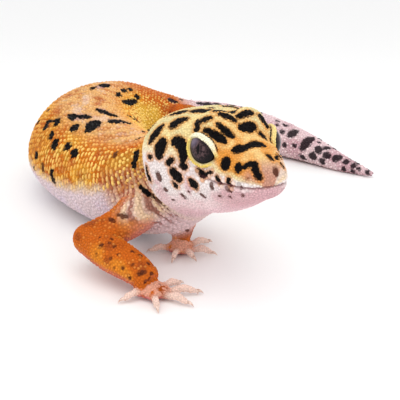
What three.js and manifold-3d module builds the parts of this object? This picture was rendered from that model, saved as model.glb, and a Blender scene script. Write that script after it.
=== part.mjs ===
// A leopard gecko at life size, curled round to its left with its head raised on its forelegs.
// Millimetres, +Z up. The floor is z = 0 and the belly, tail, hands and feet have small flats on it.
import * as THREE from "three";
import { mergeVertices } from "three/addons/utils/BufferGeometryUtils.js";
import Module from "manifold-3d";

const wasm = await Module();
wasm.setup();

// Driving dimensions -------------------------------------------------------------------------------------------

const GAP = 0.3; // thin cut between neighbouring pieces
const HEAD_LENGTH = 28; // snout tip to the back of the jaws
const SNOUT = new THREE.Vector3(10.2, -57.5, 23.6); // snout tip, at mouth level
const HEAD_YAW = THREE.MathUtils.degToRad(24.5); // turn from -Y towards +X
const HEAD_PITCH = THREE.MathUtils.degToRad(1); // nose up

// Head sections: [distance behind the snout tip, drop of mouth level, half width, height above it, depth below it].
const HEAD_SECTIONS = [
  [0.0, 0, 1.8, 1.4, 1.2],
  [0.5, 0, 3.1, 2.6, 2.1],
  [1.6, 0, 4.1, 3.7, 2.9],
  [3.4, 0, 4.9, 4.7, 3.7],
  [6.0, 0, 5.9, 5.6, 5.1],
  [9.0, 0, 7.1, 7.2, 6.8],
  [12.0, 0, 8.2, 8.2, 8.2],
  [15.5, 0, 9.3, 8.5, 9.2],
  [19.0, 0.1, 10.6, 8.5, 9.8],
  [22.0, 0.5, 11.3, 8.4, 10.2],
  [25.0, 1.3, 10.7, 8.0, 10.6],
  [HEAD_LENGTH, 2.6, 9.4, 7.4, 11],
];

// Trunk and tail stations: [x, y, z of the widest level, half width, height above it, depth below it].
const BODY_STATIONS = [
  [-3.8, -29.2, 18.6, 8.6, 7.2, 11.6], // neck
  [-7, -26.4, 16, 8.7, 7.6, 12],
  [-11, -22.2, 13.4, 9.6, 8.4, 11.6], // shoulders
  [-16.2, -14, 11, 11.8, 10.2, 10.8],
  [-22.8, -2.2, 9.6, 13.8, 11.8, 9.8],
  [-27.9, 12, 9, 14.8, 13.4, 9.3],
  [-27.4, 26.6, 8.8, 13.8, 14.5, 9.1],
  [-21.6, 39.2, 8.4, 11.6, 13.4, 8.7],
  [-13.4, 48.2, 7.2, 8.8, 10.3, 7.6], // pelvis
  [-3.5, 53, 6.5, 5.7, 7.4, 6.7], // tail root
  [8, 51.5, 6.1, 6.8, 6.9, 6.2],
  [20, 44, 5.4, 6.2, 5.6, 5.5],
  [30, 34.5, 4, 4.6, 4.1, 4.1],
  [38.5, 25, 2.3, 2.6, 2.4, 2.6],
  [45.6, 18.2, 1.2, 0.7, 0.7, 0.9], // tail tip
];

// Limbs: routes of [x, y, z, radius] from inside the body to the elbow or knee, and from there to the wrist or ankle.
// Toes are [turn in degrees from +X, length], in order round the palm.
const LIMBS = {
  arm_right: {
    upper: [[-9.5, -28, 12, 4.8], [-11.4, -32.4, 10.2, 4.2], [-14.8, -35.6, 8.4, 3.5], [-19.6, -37.6, 7, 3]],
    lower: [[-20.2, -38, 6.7, 3.15], [-15.8, -42, 5.6, 3.4], [-11, -45.8, 4.3, 2.9], [-8.4, -48, 3, 2.3]],
    palm: [-8.2, -47.9, 1.35],
    palmSize: [2.7, 2.5, 1.5],
    toes: [[204, 5.4], [283, 5.3], [332, 7.3], [6, 8.1], [42, 6.4]],
  },
  arm_left: {
    upper: [[-5, -23.5, 13, 4.4], [-2, -20.3, 12, 3.9], [0.1, -20.6, 10.9, 3.2]],
    lower: [[0.4, -21.5, 10.3, 3.15], [-2, -25.1, 7.2, 2.7], [-3.3, -27.5, 4.8, 2.3], [-3.8, -29, 2.8, 2.1]],
    palm: [-4, -29.4, 1.35],
    palmSize: [2.6, 2.4, 1.5],
    toes: [[185, 5.9], [256, 4.9], [305, 5], [345, 6.9], [35, 7.2]],
  },
  leg_left: {
    upper: [[-12, 45, 8, 5.2], [-5, 42.5, 10, 4.8], [1.3, 38.3, 10, 3.8]],
    lower: [[1.8, 37.3, 9.6, 4], [1, 33.5, 7, 3.5], [-1.4, 30.2, 4.6, 2.8], [-3.6, 27.8, 2.8, 2.3]],
    palm: [-4.6, 26.6, 1.35],
    palmSize: [2.8, 2.6, 1.5],
    toes: [[165, 6], [205, 7.5], [240, 8.6], [275, 8.8], [330, 6.5]],
  },
  leg_right: {
    upper: [[-15, 53, 8, 5.2], [-19.5, 58.5, 9, 4.8], [-24.3, 63.4, 9, 3.8]],
    lower: [[-24.8, 64.2, 8.7, 4], [-24.6, 68, 6.2, 3.4], [-21.8, 70.6, 4.2, 2.8], [-19, 72, 2.8, 2.3]],
    palm: [-18.4, 73, 1.35],
    palmSize: [2.8, 2.6, 1.5],
    toes: [[60, 6], [100, 7.6], [135, 8.8], [165, 9], [215, 6.5]],
  },
};
const TOE_RADIUS = 0.85;
const CLAW_LENGTH = 1.3;

const EYE_RADIUS = 3.1;
const EYE_PLACE = { back: 10.8, out: 4.7, up: 3.5 };
const EYE_LOOK = { forward: 0.5, out: 0.84, up: 0.2 };
const LID = { wide: 2.75, high: 2.5, thick: 0.6, lift: 2 };
const BROW = { wide: 4.8, high: 4.7, deep: 3.9, raised: 1.6, sunk: 2 };

// Exponents of the cross sections: 2 is an ellipse, more is boxier.
const HEAD_SQUARE = 2.45;
const BODY_SQUARE = 2.15;
const ROUND = 2;

// How the spine is parted: name, from and to behind the snout tip, rows along and corners around.
const PARTS_ALONG = [
  ["neck", HEAD_LENGTH, 37, 3, 22],
  ["chest", 37, 56, 6, 22],
  ["belly", 56, 84, 7, 22],
  ["loin", 84, 112, 7, 22],
  ["tail_root", 112, 136, 7, 18],
  ["tail_middle", 136, 164, 7, 14],
];
const TAIL_TIP = { from: 164, rows: 7, around: 12 };

// Spine --------------------------------------------------------------------------------------------------------

function headAxes() {
  const forward = new THREE.Vector3(
    Math.sin(HEAD_YAW) * Math.cos(HEAD_PITCH),
    -Math.cos(HEAD_YAW) * Math.cos(HEAD_PITCH),
    Math.sin(HEAD_PITCH),
  );
  const left = new THREE.Vector3(0, 0, 1).cross(forward).normalize();
  const up = forward.clone().cross(left);
  return { forward, left, up };
}
const HEAD = headAxes();

// A point given as distance behind the snout tip, towards the animal's left, and above mouth level.
function inHead(back, left, up) {
  return SNOUT.clone()
    .addScaledVector(HEAD.forward, -back)
    .addScaledVector(HEAD.left, left)
    .addScaledVector(HEAD.up, up);
}

// A route through points with a section at each. It is read by distance along it.
function route(points, sizes, ups) {
  const line = new THREE.CatmullRomCurve3(points, false, "centripetal");
  const size = new THREE.CatmullRomCurve3(sizes, false, "catmullrom", 0.5);
  const last = points.length - 1;
  line.arcLengthDivisions = 40 * last;
  const lengths = line.getLengths();
  const at = (distance) => {
    const share = THREE.MathUtils.clamp(distance / lengths[lengths.length - 1], 0, 1);
    const t = line.getUtoTmapping(share);
    const i = Math.min(Math.floor(t * last), last - 1);
    const along = line.getTangent(t);
    const side = ups[i].clone().lerp(ups[i + 1], t * last - i).cross(along).normalize();
    const up = along.clone().cross(side);
    return { centre: line.getPoint(t), size: size.getPoint(t), side, up };
  };
  return { at, length: lengths[lengths.length - 1] };
}

const WORLD_UP = new THREE.Vector3(0, 0, 1);
const spine = route(
  [
    ...HEAD_SECTIONS.map(([back, drop]) => inHead(back, 0, -drop)),
    ...BODY_STATIONS.map(([x, y, z]) => new THREE.Vector3(x, y, z)),
  ],
  [
    ...HEAD_SECTIONS.map(([, , w, a, b]) => new THREE.Vector3(w, a, b)),
    ...BODY_STATIONS.map(([, , , w, a, b]) => new THREE.Vector3(w, a, b)),
  ],
  [...HEAD_SECTIONS.map(() => HEAD.up), ...BODY_STATIONS.map(() => WORLD_UP)],
);

// Shapes -------------------------------------------------------------------------------------------------------

function power(value, exponent) {
  return Math.sign(value) * Math.abs(value) ** exponent;
}

function steps(from, to, count) {
  return Array.from({ length: count + 1 }, (_, i) => from + ((to - from) * i) / count);
}

// A closed solid along a route, with a ring at each of the distances and flat ends.
// square is the section's exponent. grow swells it.
function loft(at, distances, around, square = ROUND, grow = 0) {
  const rows = distances.length - 1;
  const geometry = new THREE.CylinderGeometry(1, 1, 1, around, rows);
  const position = geometry.getAttribute("position");
  for (let i = 0; i < position.count; i++) {
    const x = position.getX(i);
    const z = position.getZ(i);
    const row = Math.round((0.5 - position.getY(i)) * rows);
    const { centre, size, side, up } = at(distances[row]);
    if (Math.hypot(x, z) > 0.5) {
      centre.addScaledVector(side, power(x, 2 / square) * (size.x + grow));
      centre.addScaledVector(up, power(z, 2 / square) * ((z > 0 ? size.y : size.z) + grow));
    }
    position.setXYZ(i, centre.x, centre.y, centre.z);
  }
  return geometry;
}

function solid(geometry) {
  const bare = geometry.clone();
  bare.deleteAttribute("normal");
  bare.deleteAttribute("uv");
  const merged = mergeVertices(bare, 1e-4);
  return new wasm.Manifold(
    new wasm.Mesh({
      numProp: 3,
      vertProperties: new Float32Array(merged.attributes.position.array),
      triVerts: new Uint32Array(merged.index.array),
    }),
  );
}

function toGeometry(made) {
  const { numProp, numVert, vertProperties, triVerts } = made.getMesh();
  const points = new Float32Array(numVert * 3);
  for (let i = 0; i < numVert; i++) {
    points.set(vertProperties.subarray(i * numProp, i * numProp + 3), i * 3);
  }
  const geometry = new THREE.BufferGeometry();
  geometry.setAttribute("position", new THREE.BufferAttribute(points, 3));
  geometry.setIndex(new THREE.BufferAttribute(triVerts, 1));
  geometry.computeVertexNormals();
  return geometry;
}

function ellipsoid(centre, [rx, ry, rz], around = 10, rings = 6) {
  const geometry = new THREE.SphereGeometry(1, around, rings);
  geometry.rotateX(Math.PI / 2);
  geometry.scale(rx, ry, rz);
  geometry.translate(centre.x, centre.y, centre.z);
  return solid(geometry);
}

function aboveFloor(made) {
  return made.trimByPlane([0, 0, 1], 0);
}

// What lies a gap or more behind the flat end of the head. The spine bends sharply there.
function behindHead(made) {
  const { centre, side, up } = spine.at(HEAD_LENGTH - GAP / 2);
  const along = side.clone().cross(up);
  return made.trimByPlane(along.toArray(), along.dot(centre) + GAP);
}

// Head ---------------------------------------------------------------------------------------------------------

// Axes with +Z along the gaze, for side 1 (left) or -1 (right).
function eyeFrame(side) {
  const gaze = new THREE.Vector3()
    .addScaledVector(HEAD.forward, EYE_LOOK.forward)
    .addScaledVector(HEAD.left, side * EYE_LOOK.out)
    .addScaledVector(HEAD.up, EYE_LOOK.up)
    .normalize();
  const across = HEAD.up.clone().cross(gaze).normalize();
  const rise = gaze.clone().cross(across);
  const centre = inHead(EYE_PLACE.back, side * EYE_PLACE.out, EYE_PLACE.up);
  return { centre, gaze, matrix: new THREE.Matrix4().makeBasis(across, rise, gaze).setPosition(centre) };
}

function eyeball(side, grow = 0) {
  const geometry = new THREE.SphereGeometry(EYE_RADIUS + grow, 12, 8);
  return solid(geometry.applyMatrix4(eyeFrame(side).matrix));
}

function lidRing(side) {
  const geometry = new THREE.TorusGeometry(1, LID.thick / LID.wide, 6, 16);
  geometry.scale(LID.wide, LID.high, LID.wide);
  geometry.translate(0, 0, LID.lift);
  return solid(geometry.applyMatrix4(eyeFrame(side).matrix));
}

function brow(side) {
  const bulge = new THREE.SphereGeometry(1, 12, 8);
  bulge.scale(BROW.wide, BROW.high, BROW.deep);
  bulge.translate(0, BROW.raised, -BROW.sunk);
  return solid(bulge.applyMatrix4(eyeFrame(side).matrix));
}

function headWhole() {
  const rows = [0, 0.3, 0.9, 1.8, 3, 4.6, 6.4, 8.4, 10.4, 12.4, 14.6, 16.8, 19, 21.2, 23.4, 25.6];
  rows.push(HEAD_LENGTH - GAP / 2);
  let made = solid(loft(spine.at, rows, 26, HEAD_SQUARE));
  for (const side of [1, -1]) {
    made = made.add(brow(side)).add(lidRing(side)).subtract(eyeball(side, GAP));
  }
  return made;
}

// A thin curtain along the mouth line, then down behind the corner of the mouth.
function mouthCut() {
  const line = [[-2, -0.4], [2, -0.7], [6, -1], [11, -0.6], [15, 0.2], [17.5, -1], [20, -6], [21.5, -16]];
  const shape = new THREE.Shape();
  line.forEach(([back, up], i) => (i ? shape.lineTo(back, up) : shape.moveTo(back, up)));
  [...line].reverse().forEach(([back, up]) => shape.lineTo(back + GAP * 0.7, up + GAP));
  const geometry = new THREE.ExtrudeGeometry(shape, { depth: 40, bevelEnabled: false });
  geometry.translate(0, 0, -20);
  const axes = new THREE.Matrix4().makeBasis(HEAD.forward.clone().negate(), HEAD.up, HEAD.left);
  return solid(geometry.applyMatrix4(axes.setPosition(SNOUT)));
}

// Limbs --------------------------------------------------------------------------------------------------------

const vector = ([x, y, z]) => new THREE.Vector3(x, y, z);

function limbRoute(points) {
  const sizes = points.map(([, , , r]) => new THREE.Vector3(r, r, r));
  return route(points.map(vector), sizes, Array(points.length).fill(WORLD_UP));
}

function upperLimb(points) {
  const path = limbRoute(points);
  return solid(loft(path.at, steps(0, path.length, 4), 10));
}

// The forearm or shin begins as a dome at the elbow or knee.
function lowerLimb(points, grow = 0) {
  const path = limbRoute(points);
  const r = points[0][3] + grow;
  const at = (distance) => {
    const section = path.at(distance);
    section.size.addScalar(grow);
    if (distance < 0) {
      const back = section.up.clone().cross(section.side);
      section.centre.addScaledVector(back, -distance);
      section.size.multiplyScalar(Math.sqrt(1 - (distance / r) ** 2));
    }
    return section;
  };
  return solid(loft(at, [-0.97 * r, -0.8 * r, -0.45 * r, ...steps(0, path.length, 5)], 10));
}

// A toe arches from the palm over its middle joint, comes down on its tip and ends in a claw.
function toe(palm, degrees, length, grow) {
  const turn = THREE.MathUtils.degToRad(degrees);
  const claw = CLAW_LENGTH / length;
  const profile = [
    [0.1, 1.3, 1.15],
    [0.38, 1.0, 1],
    [0.66, 1.5, 0.95],
    [0.86, 1.0, 0.8],
    [1, 0.62, 0.62],
    [1 + 0.5 * claw, 0.72, 0.34],
    [1 + claw, 0.2, 0.07],
  ];
  const path = route(
    profile.map(([share, z]) => {
      const reach = length * share;
      return new THREE.Vector3(palm[0] + Math.cos(turn) * reach, palm[1] + Math.sin(turn) * reach, z);
    }),
    profile.map(([, , scale]) => new THREE.Vector3(scale, scale, scale).multiplyScalar(TOE_RADIUS)),
    Array(profile.length).fill(WORLD_UP),
  );
  return solid(loft(path.at, steps(0, path.length, 6), 6, ROUND, grow));
}

function handWhole({ palm, palmSize, toes }, grow = 0) {
  return toes.reduce(
    (made, [degrees, length]) => made.add(toe(palm, degrees, length, grow)),
    ellipsoid(vector(palm), palmSize.map((r) => r + grow)),
  );
}

// Assembly -----------------------------------------------------------------------------------------------------

const COLOURS = {
  yellow: 0xf2c46b,
  orange: 0xd9812e,
  pale: 0xe9c8c4,
  eye: 0x2c2228,
};

const gecko = new THREE.Group();
function addPart(name, made, colour, roughness = 0.7) {
  const material = new THREE.MeshStandardMaterial({ color: colour, roughness, metalness: 0 });
  const mesh = new THREE.Mesh(toGeometry(made), material);
  mesh.name = name;
  gecko.add(mesh);
}

function addHead() {
  const pieces = headWhole().subtract(mouthCut()).decompose();
  pieces.sort((a, b) => b.volume() - a.volume());
  addPart("head", pieces[0], COLOURS.yellow);
  addPart("lower_jaw", pieces[1], COLOURS.pale);
  addPart("eye_left", eyeball(1), COLOURS.eye, 0.1);
  addPart("eye_right", eyeball(-1), COLOURS.eye, 0.1);
}

function addSpine() {
  for (const [name, from, to, rows, around] of PARTS_ALONG) {
    const distances = steps(from + GAP / 2, to - GAP / 2, rows);
    const length = aboveFloor(solid(loft(spine.at, distances, around, BODY_SQUARE)));
    addPart(name, name === "neck" ? behindHead(length) : length, COLOURS.yellow);
  }
  const { from, rows, around } = TAIL_TIP;
  const tip = [...steps(from + GAP / 2, spine.length - 1.5, rows), spine.length - 0.6, spine.length];
  addPart("tail_tip", aboveFloor(solid(loft(spine.at, tip, around))), COLOURS.pale);
}

// Each limb is cut clear of the trunk, at its middle joint, and at the wrist or ankle.
function addLimbs() {
  const trunk = solid(loft(spine.at, steps(26, 150, 44), 20, BODY_SQUARE, GAP));
  const names = { arm: ["upper_arm", "forearm", "hand"], leg: ["thigh", "shin", "foot"] };
  for (const [limb, shape] of Object.entries(LIMBS)) {
    const [kind, side] = limb.split("_");
    const [upper, lower, end] = names[kind].map((part) => `${part}_${side}`);
    const cuts = [
      upperLimb(shape.upper).subtract(lowerLimb(shape.lower, GAP)),
      lowerLimb(shape.lower).subtract(handWhole(shape, GAP)),
      handWhole(shape),
    ];
    [upper, lower, end].forEach((name, i) => {
      addPart(name, aboveFloor(cuts[i].subtract(trunk)), i < 2 ? COLOURS.orange : COLOURS.pale);
    });
  }
}

addHead();
addSpine();
addLimbs();

// The origin is on the floor under the middle of the animal's box.
const box = new THREE.Box3().setFromObject(gecko);
const middle = box.getCenter(new THREE.Vector3());
gecko.children.forEach((mesh) => mesh.geometry.translate(-middle.x, -middle.y, 0));

export default gecko;
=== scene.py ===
"""A leopard gecko curled to its left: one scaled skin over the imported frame, with eyes and claws."""
import math

import bmesh
import bpy
import numpy as np
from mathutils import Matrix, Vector
from mathutils.bvhtree import BVHTree
from mathutils.kdtree import KDTree


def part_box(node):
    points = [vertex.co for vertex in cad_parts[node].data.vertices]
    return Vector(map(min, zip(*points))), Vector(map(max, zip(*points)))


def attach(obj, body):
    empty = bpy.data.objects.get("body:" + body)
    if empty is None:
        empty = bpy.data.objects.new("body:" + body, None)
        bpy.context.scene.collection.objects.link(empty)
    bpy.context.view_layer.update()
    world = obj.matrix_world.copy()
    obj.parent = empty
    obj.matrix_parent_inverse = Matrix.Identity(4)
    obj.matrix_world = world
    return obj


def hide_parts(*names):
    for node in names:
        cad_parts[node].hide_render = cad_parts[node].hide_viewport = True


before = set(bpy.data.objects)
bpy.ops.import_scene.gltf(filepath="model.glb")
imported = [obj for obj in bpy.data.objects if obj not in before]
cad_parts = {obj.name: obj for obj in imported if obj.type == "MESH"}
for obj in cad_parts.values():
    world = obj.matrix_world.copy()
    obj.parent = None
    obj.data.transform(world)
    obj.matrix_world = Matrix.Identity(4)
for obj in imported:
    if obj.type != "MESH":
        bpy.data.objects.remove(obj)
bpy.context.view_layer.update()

MM = 0.001
RNG = np.random.default_rng(11)

# Shape ----------
# Lengths are in millimetres in the animal's own frame until a mesh is written. Z = 0 is the floor.

COAT = 0.22  # how far the skin lies inside the solids, for the scales
FLOOR_GAP = 0.12

SNOUT = np.array([10.2, -57.5, 23.6])
HEAD_LENGTH = 28.0
HEAD_YAW, HEAD_PITCH = np.radians([24.5, 1.0])  # turned towards +X, raised

# Distance behind the snout tip, drop of mouth level, half width, height above it, depth below it.
HEAD_SECTIONS = [
    (0.0, 0, 1.8, 1.4, 1.2),
    (0.5, 0, 3.1, 2.6, 2.1),
    (1.6, 0, 4.1, 3.7, 2.9),
    (3.4, 0, 4.9, 4.7, 3.7),
    (6.0, 0, 5.9, 5.6, 5.1),
    (9.0, 0, 7.1, 7.2, 6.8),
    (12.0, 0, 8.2, 8.2, 8.2),
    (15.5, 0, 9.3, 8.5, 9.2),
    (19.0, 0.1, 10.6, 8.5, 9.8),
    (22.0, 0.5, 11.3, 8.4, 10.2),
    (25.0, 1.3, 10.7, 8.0, 10.6),
    (HEAD_LENGTH, 2.6, 9.4, 7.4, 11.0),
]

# Place of the widest level, half width, height above it, depth below it.
BODY_STATIONS = [
    (-3.8, -29.2, 18.6, 8.6, 7.2, 11.6),  # neck
    (-7.0, -26.4, 16.0, 8.7, 7.6, 12.0),
    (-11.0, -22.2, 13.4, 9.6, 8.4, 11.6),  # shoulders
    (-16.2, -14.0, 11.0, 11.8, 10.2, 10.8),
    (-22.8, -2.2, 9.6, 13.8, 11.8, 9.8),
    (-27.9, 12.0, 9.0, 14.8, 13.4, 9.3),
    (-27.4, 26.6, 8.8, 13.8, 14.5, 9.1),
    (-21.6, 39.2, 8.4, 11.6, 13.4, 8.7),
    (-13.4, 48.2, 7.2, 8.8, 10.3, 7.6),  # pelvis
    (-3.5, 53.0, 6.5, 5.7, 7.4, 6.7),  # tail root
    (8.0, 51.5, 6.1, 6.8, 6.9, 6.2),
    (20.0, 44.0, 5.4, 6.2, 5.6, 5.5),
    (30.0, 34.5, 4.0, 4.6, 4.1, 4.1),
    (38.5, 25.0, 2.3, 2.6, 2.4, 2.6),
    (45.6, 18.2, 1.2, 0.7, 0.7, 0.9),  # tail tip
]

# Places with a radius, to the elbow or knee and on to the wrist or ankle. Toes are turn from +X and length.
LIMBS = {
    "arm_right": {
        "upper": [(-9.5, -28, 12, 4.8), (-11.4, -32.4, 10.2, 4.2), (-14.8, -35.6, 8.4, 3.5),
                  (-19.6, -37.6, 7, 3)],
        "lower": [(-20.2, -38, 6.7, 3.15), (-15.8, -42, 5.6, 3.4), (-11, -45.8, 4.3, 2.9),
                  (-8.4, -48, 3, 2.3)],
        "palm": (-8.2, -47.9, 1.35),
        "palm_size": (2.7, 2.5, 1.5),
        "toes": [(204, 5.4), (283, 5.3), (332, 7.3), (6, 8.1), (42, 6.4)],
    },
    "arm_left": {
        "upper": [(-5, -23.5, 13, 4.4), (-2, -20.3, 12, 3.9), (0.1, -20.6, 10.9, 3.2)],
        "lower": [(0.4, -21.5, 10.3, 3.15), (-2, -25.1, 7.2, 2.7), (-3.3, -27.5, 4.8, 2.3),
                  (-3.8, -29, 2.8, 2.1)],
        "palm": (-4, -29.4, 1.35),
        "palm_size": (2.6, 2.4, 1.5),
        "toes": [(185, 5.9), (256, 4.9), (305, 5), (345, 6.9), (35, 7.2)],
    },
    "leg_left": {
        "upper": [(-12, 45, 8, 5.2), (-5, 42.5, 10, 4.8), (1.3, 38.3, 10, 3.8)],
        "lower": [(1.8, 37.3, 9.6, 4), (1, 33.5, 7, 3.5), (-1.4, 30.2, 4.6, 2.8), (-3.6, 27.8, 2.8, 2.3)],
        "palm": (-4.6, 26.6, 1.35),
        "palm_size": (2.8, 2.6, 1.5),
        "toes": [(165, 6), (205, 7.5), (240, 8.6), (275, 8.8), (330, 6.5)],
    },
    "leg_right": {
        "upper": [(-15, 53, 8, 5.2), (-19.5, 58.5, 9, 4.8), (-24.3, 63.4, 9, 3.8)],
        "lower": [(-24.8, 64.2, 8.7, 4), (-24.6, 68, 6.2, 3.4), (-21.8, 70.6, 4.2, 2.8), (-19, 72, 2.8, 2.3)],
        "palm": (-18.4, 73, 1.35),
        "palm_size": (2.8, 2.6, 1.5),
        "toes": [(60, 6), (100, 7.6), (135, 8.8), (165, 9), (215, 6.5)],
    },
}
TOE_RADIUS = 0.85

EYE_RADIUS = 3.1
EYE_PLACE = (10.8, 4.7, 3.5)  # behind the snout, out to the side, above mouth level
EYE_LOOK = (0.5, 0.84, 0.2)  # forward, out, up


def unit(v):
    return v / np.linalg.norm(v, axis=-1, keepdims=True)


FORWARD = np.array([
    math.sin(HEAD_YAW) * math.cos(HEAD_PITCH),
    -math.cos(HEAD_YAW) * math.cos(HEAD_PITCH),
    math.sin(HEAD_PITCH),
])
WORLD_UP = (0.0, 0.0, 1.0)
LEFT = unit(np.cross(WORLD_UP, FORWARD))
UP = np.cross(FORWARD, LEFT)


def in_head(back, left, up):
    """The place that is so far behind the snout tip, to the animal's left, and above mouth level."""
    outer = np.multiply.outer
    return SNOUT - outer(back, FORWARD) + outer(left, LEFT) + outer(up, UP)


def head_coords(points):
    """Back, left and up of each point."""
    away = points - SNOUT
    return np.stack([-away @ FORWARD, away @ LEFT, away @ UP], -1)


def ease(start, end, x):
    """0 before start, 1 after end, and a smooth rise between them."""
    t = np.clip((x - start) / (end - start), 0, 1)
    return t * t * (3 - 2 * t)


def fall(start, end, x):
    """1 before start and 0 after end."""
    return 1 - ease(start, end, x)


def between(rise0, rise1, fall0, fall1, x):
    """A rise from rise0 to rise1 and a fall from fall0 to fall1."""
    return ease(rise0, rise1, x) * fall(fall0, fall1, x)


def cubic(start, end, leave, arrive, w):
    """The curve from start to end at share w, with its slopes at the two ends."""
    rise = end - start
    return start + leave * w + (3 * rise - 2 * leave - arrive) * w**2 + (leave - 2 * rise + arrive) * w**3


class Route:
    """A smooth line through points, with a section and an up direction at each, read by distance along it."""

    def __init__(self, points, sizes, ups):
        self.points, self.sizes, self.ups = (np.asarray(v, float) for v in (points, sizes, ups))
        self.t = np.linspace(0, len(points) - 1, 60 * (len(points) - 1) + 1)
        line = self._spline(self.points, self.t, True)
        self.travelled = np.r_[0, np.cumsum(np.linalg.norm(np.diff(line, axis=0), axis=1))]
        self.length = self.travelled[-1]

    @staticmethod
    def _spline(knots, t, centripetal):
        """Catmull-Rom through knots at each t, where t counts knots."""
        ends = np.vstack([2 * knots[0] - knots[1], knots, 2 * knots[-1] - knots[-2]])
        i = np.minimum(t.astype(int), len(knots) - 2)
        p0, p1, p2, p3 = (ends[i + k] for k in range(4))
        if centripetal:
            runs = (p1 - p0, p2 - p1, p3 - p2)
            d0, d1, d2 = (np.sqrt(np.linalg.norm(run, axis=1))[:, None] for run in runs)
            m1 = ((p1 - p0) / d0 - (p2 - p0) / (d0 + d1) + (p2 - p1) / d1) * d1
            m2 = ((p2 - p1) / d1 - (p3 - p1) / (d1 + d2) + (p3 - p2) / d2) * d1
        else:
            m1, m2 = (p2 - p0) / 2, (p3 - p1) / 2
        return cubic(p1, p2, m1, m2, (t - i)[:, None])

    def at(self, distance):
        """Centre, size, side (the animal's right on the spine) and up at each distance."""
        distance = np.clip(np.atleast_1d(distance), 0, self.length)
        t = np.interp(distance, self.travelled, self.t)
        step = 1e-3
        ahead = self._spline(self.points, np.minimum(t + step, self.t[-1]), True)
        behind = self._spline(self.points, np.maximum(t - step, 0), True)
        along = unit(ahead - behind)
        i = np.minimum(t.astype(int), len(self.points) - 2)
        w = (t - i)[:, None]
        ups = self.ups[i] * (1 - w) + self.ups[i + 1] * w
        side = unit(np.cross(ups, along))
        centre = self._spline(self.points, t, True)
        return centre, self._spline(self.sizes, t, False), side, np.cross(along, side)


def power(value, exponent):
    return np.sign(value) * np.abs(value) ** exponent


def spine_square(distance):
    """The exponent of the section, from boxy at the jaws to round on the tail."""
    return 2.45 - 0.3 * ease(24, 33, distance) - 0.15 * ease(110, 125, distance)


SPINE = Route(
    [in_head(b, 0.0, -drop) for b, drop, *_ in HEAD_SECTIONS] + [s[:3] for s in BODY_STATIONS],
    [s[2:] for s in HEAD_SECTIONS] + [s[3:] for s in BODY_STATIONS],
    [UP] * len(HEAD_SECTIONS) + [WORLD_UP] * len(BODY_STATIONS),
)


def spine_point(distance, angle, lift=0.0):
    """The skin at a distance behind the snout and degrees from the back, positive towards the right side."""
    distance, angle = np.broadcast_arrays(np.asarray(distance, float), np.radians(angle))
    centre, size, side, up = SPINE.at(distance.ravel())
    a = angle.ravel()
    square = spine_square(distance.ravel())
    across = power(np.sin(a), 2 / square) * (size[:, 0] - COAT + lift)
    rise = power(np.cos(a), 2 / square) * (np.where(np.cos(a) > 0, size[:, 1], size[:, 2]) - COAT + lift)
    points = centre + side * across[:, None] + up * rise[:, None]
    return points.reshape(*distance.shape, 3)


# Where the toe's middle line runs: share of its length, height, share of TOE_RADIUS.
TOE_PROFILE = [(0.1, 1.3, 1.15), (0.38, 1.0, 1.0), (0.66, 1.5, 0.95), (0.86, 1.0, 0.8), (1.0, 0.62, 0.55)]


def round_route(points):
    """A route of round section through places that each have a radius."""
    return Route([p[:3] for p in points], [p[3:] * 3 for p in points], [WORLD_UP] * len(points))


def toe_route(palm, degrees, length):
    turn = math.radians(degrees)
    x, y = math.cos(turn) * length, math.sin(turn) * length
    rows = [(palm[0] + x * share, palm[1] + y * share, z, r * TOE_RADIUS) for share, z, r in TOE_PROFILE]
    return round_route(rows)


class Eye:
    """One eye's centre and axes: front (towards the snout), rise and gaze. side is -1 on the right."""

    def __init__(self, side):
        back, out, up = EYE_PLACE
        self.centre = in_head(back, side * out, up)
        gaze = unit(EYE_LOOK[0] * FORWARD + side * EYE_LOOK[1] * LEFT + EYE_LOOK[2] * UP)
        front = -side * unit(np.cross(UP, gaze))
        self.axes = np.stack([front, unit(np.cross(gaze, np.cross(UP, gaze))), gaze])

    def coords(self, points):
        return (points - self.centre) @ self.axes.T

    def place(self, coords):
        return self.centre + np.asarray(coords, float) @ self.axes


EYES = {"left": Eye(1), "right": Eye(-1)}

# Meshes ----------

GROUPS = ["spine", "upper", "lower", "palm", "toe"]
VOXEL = 0.35  # of the surface that joins the parts, which is finer on the head
FIND_REACH = 7.0  # how far from a point its nearest part is looked for
JOIN_REACH = 1.9  # how far a join between parts is rounded
BROW = (4.8, 4.7, 3.9)  # half sizes of the bulge round an eye, along front, rise and gaze
BROW_MIDDLE = (0.0, 1.6, -2.0)


def lofted(place, distances, around=48):
    """A closed loft through place(distances, degrees): points, triangles, and (distance, cosine, sine)."""
    d, a = np.meshgrid(distances, np.arange(around) * 360 / around - 180, indexing="ij")
    rings = place(d, a)
    points = np.vstack([rings.reshape(-1, 3), rings[0].mean(0), rings[-1].mean(0)])
    here = np.arange(d.size).reshape(d.shape)
    beside = np.roll(here, -1, 1)
    faces = [
        (here[:-1], beside[:-1], here[1:]),
        (beside[:-1], beside[1:], here[1:]),
        (np.full(around, d.size), beside[0], here[0]),
        (np.full(around, d.size + 1), here[-1], beside[-1]),
    ]
    triangles = np.vstack([np.stack([corner.ravel() for corner in face], 1) for face in faces])
    corner = points[triangles]
    if np.einsum("ij,ij->i", corner[:, 0], np.cross(corner[:, 1], corner[:, 2])).sum() < 0:
        triangles = triangles[:, ::-1]
    angle = np.radians(a.ravel())
    coords = np.stack([d.ravel(), np.cos(angle), np.sin(angle)], 1)
    ends = [[distances[0], 1, 0], [distances[-1], 1, 0]]
    return points, triangles, np.vstack([coords, ends])


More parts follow.
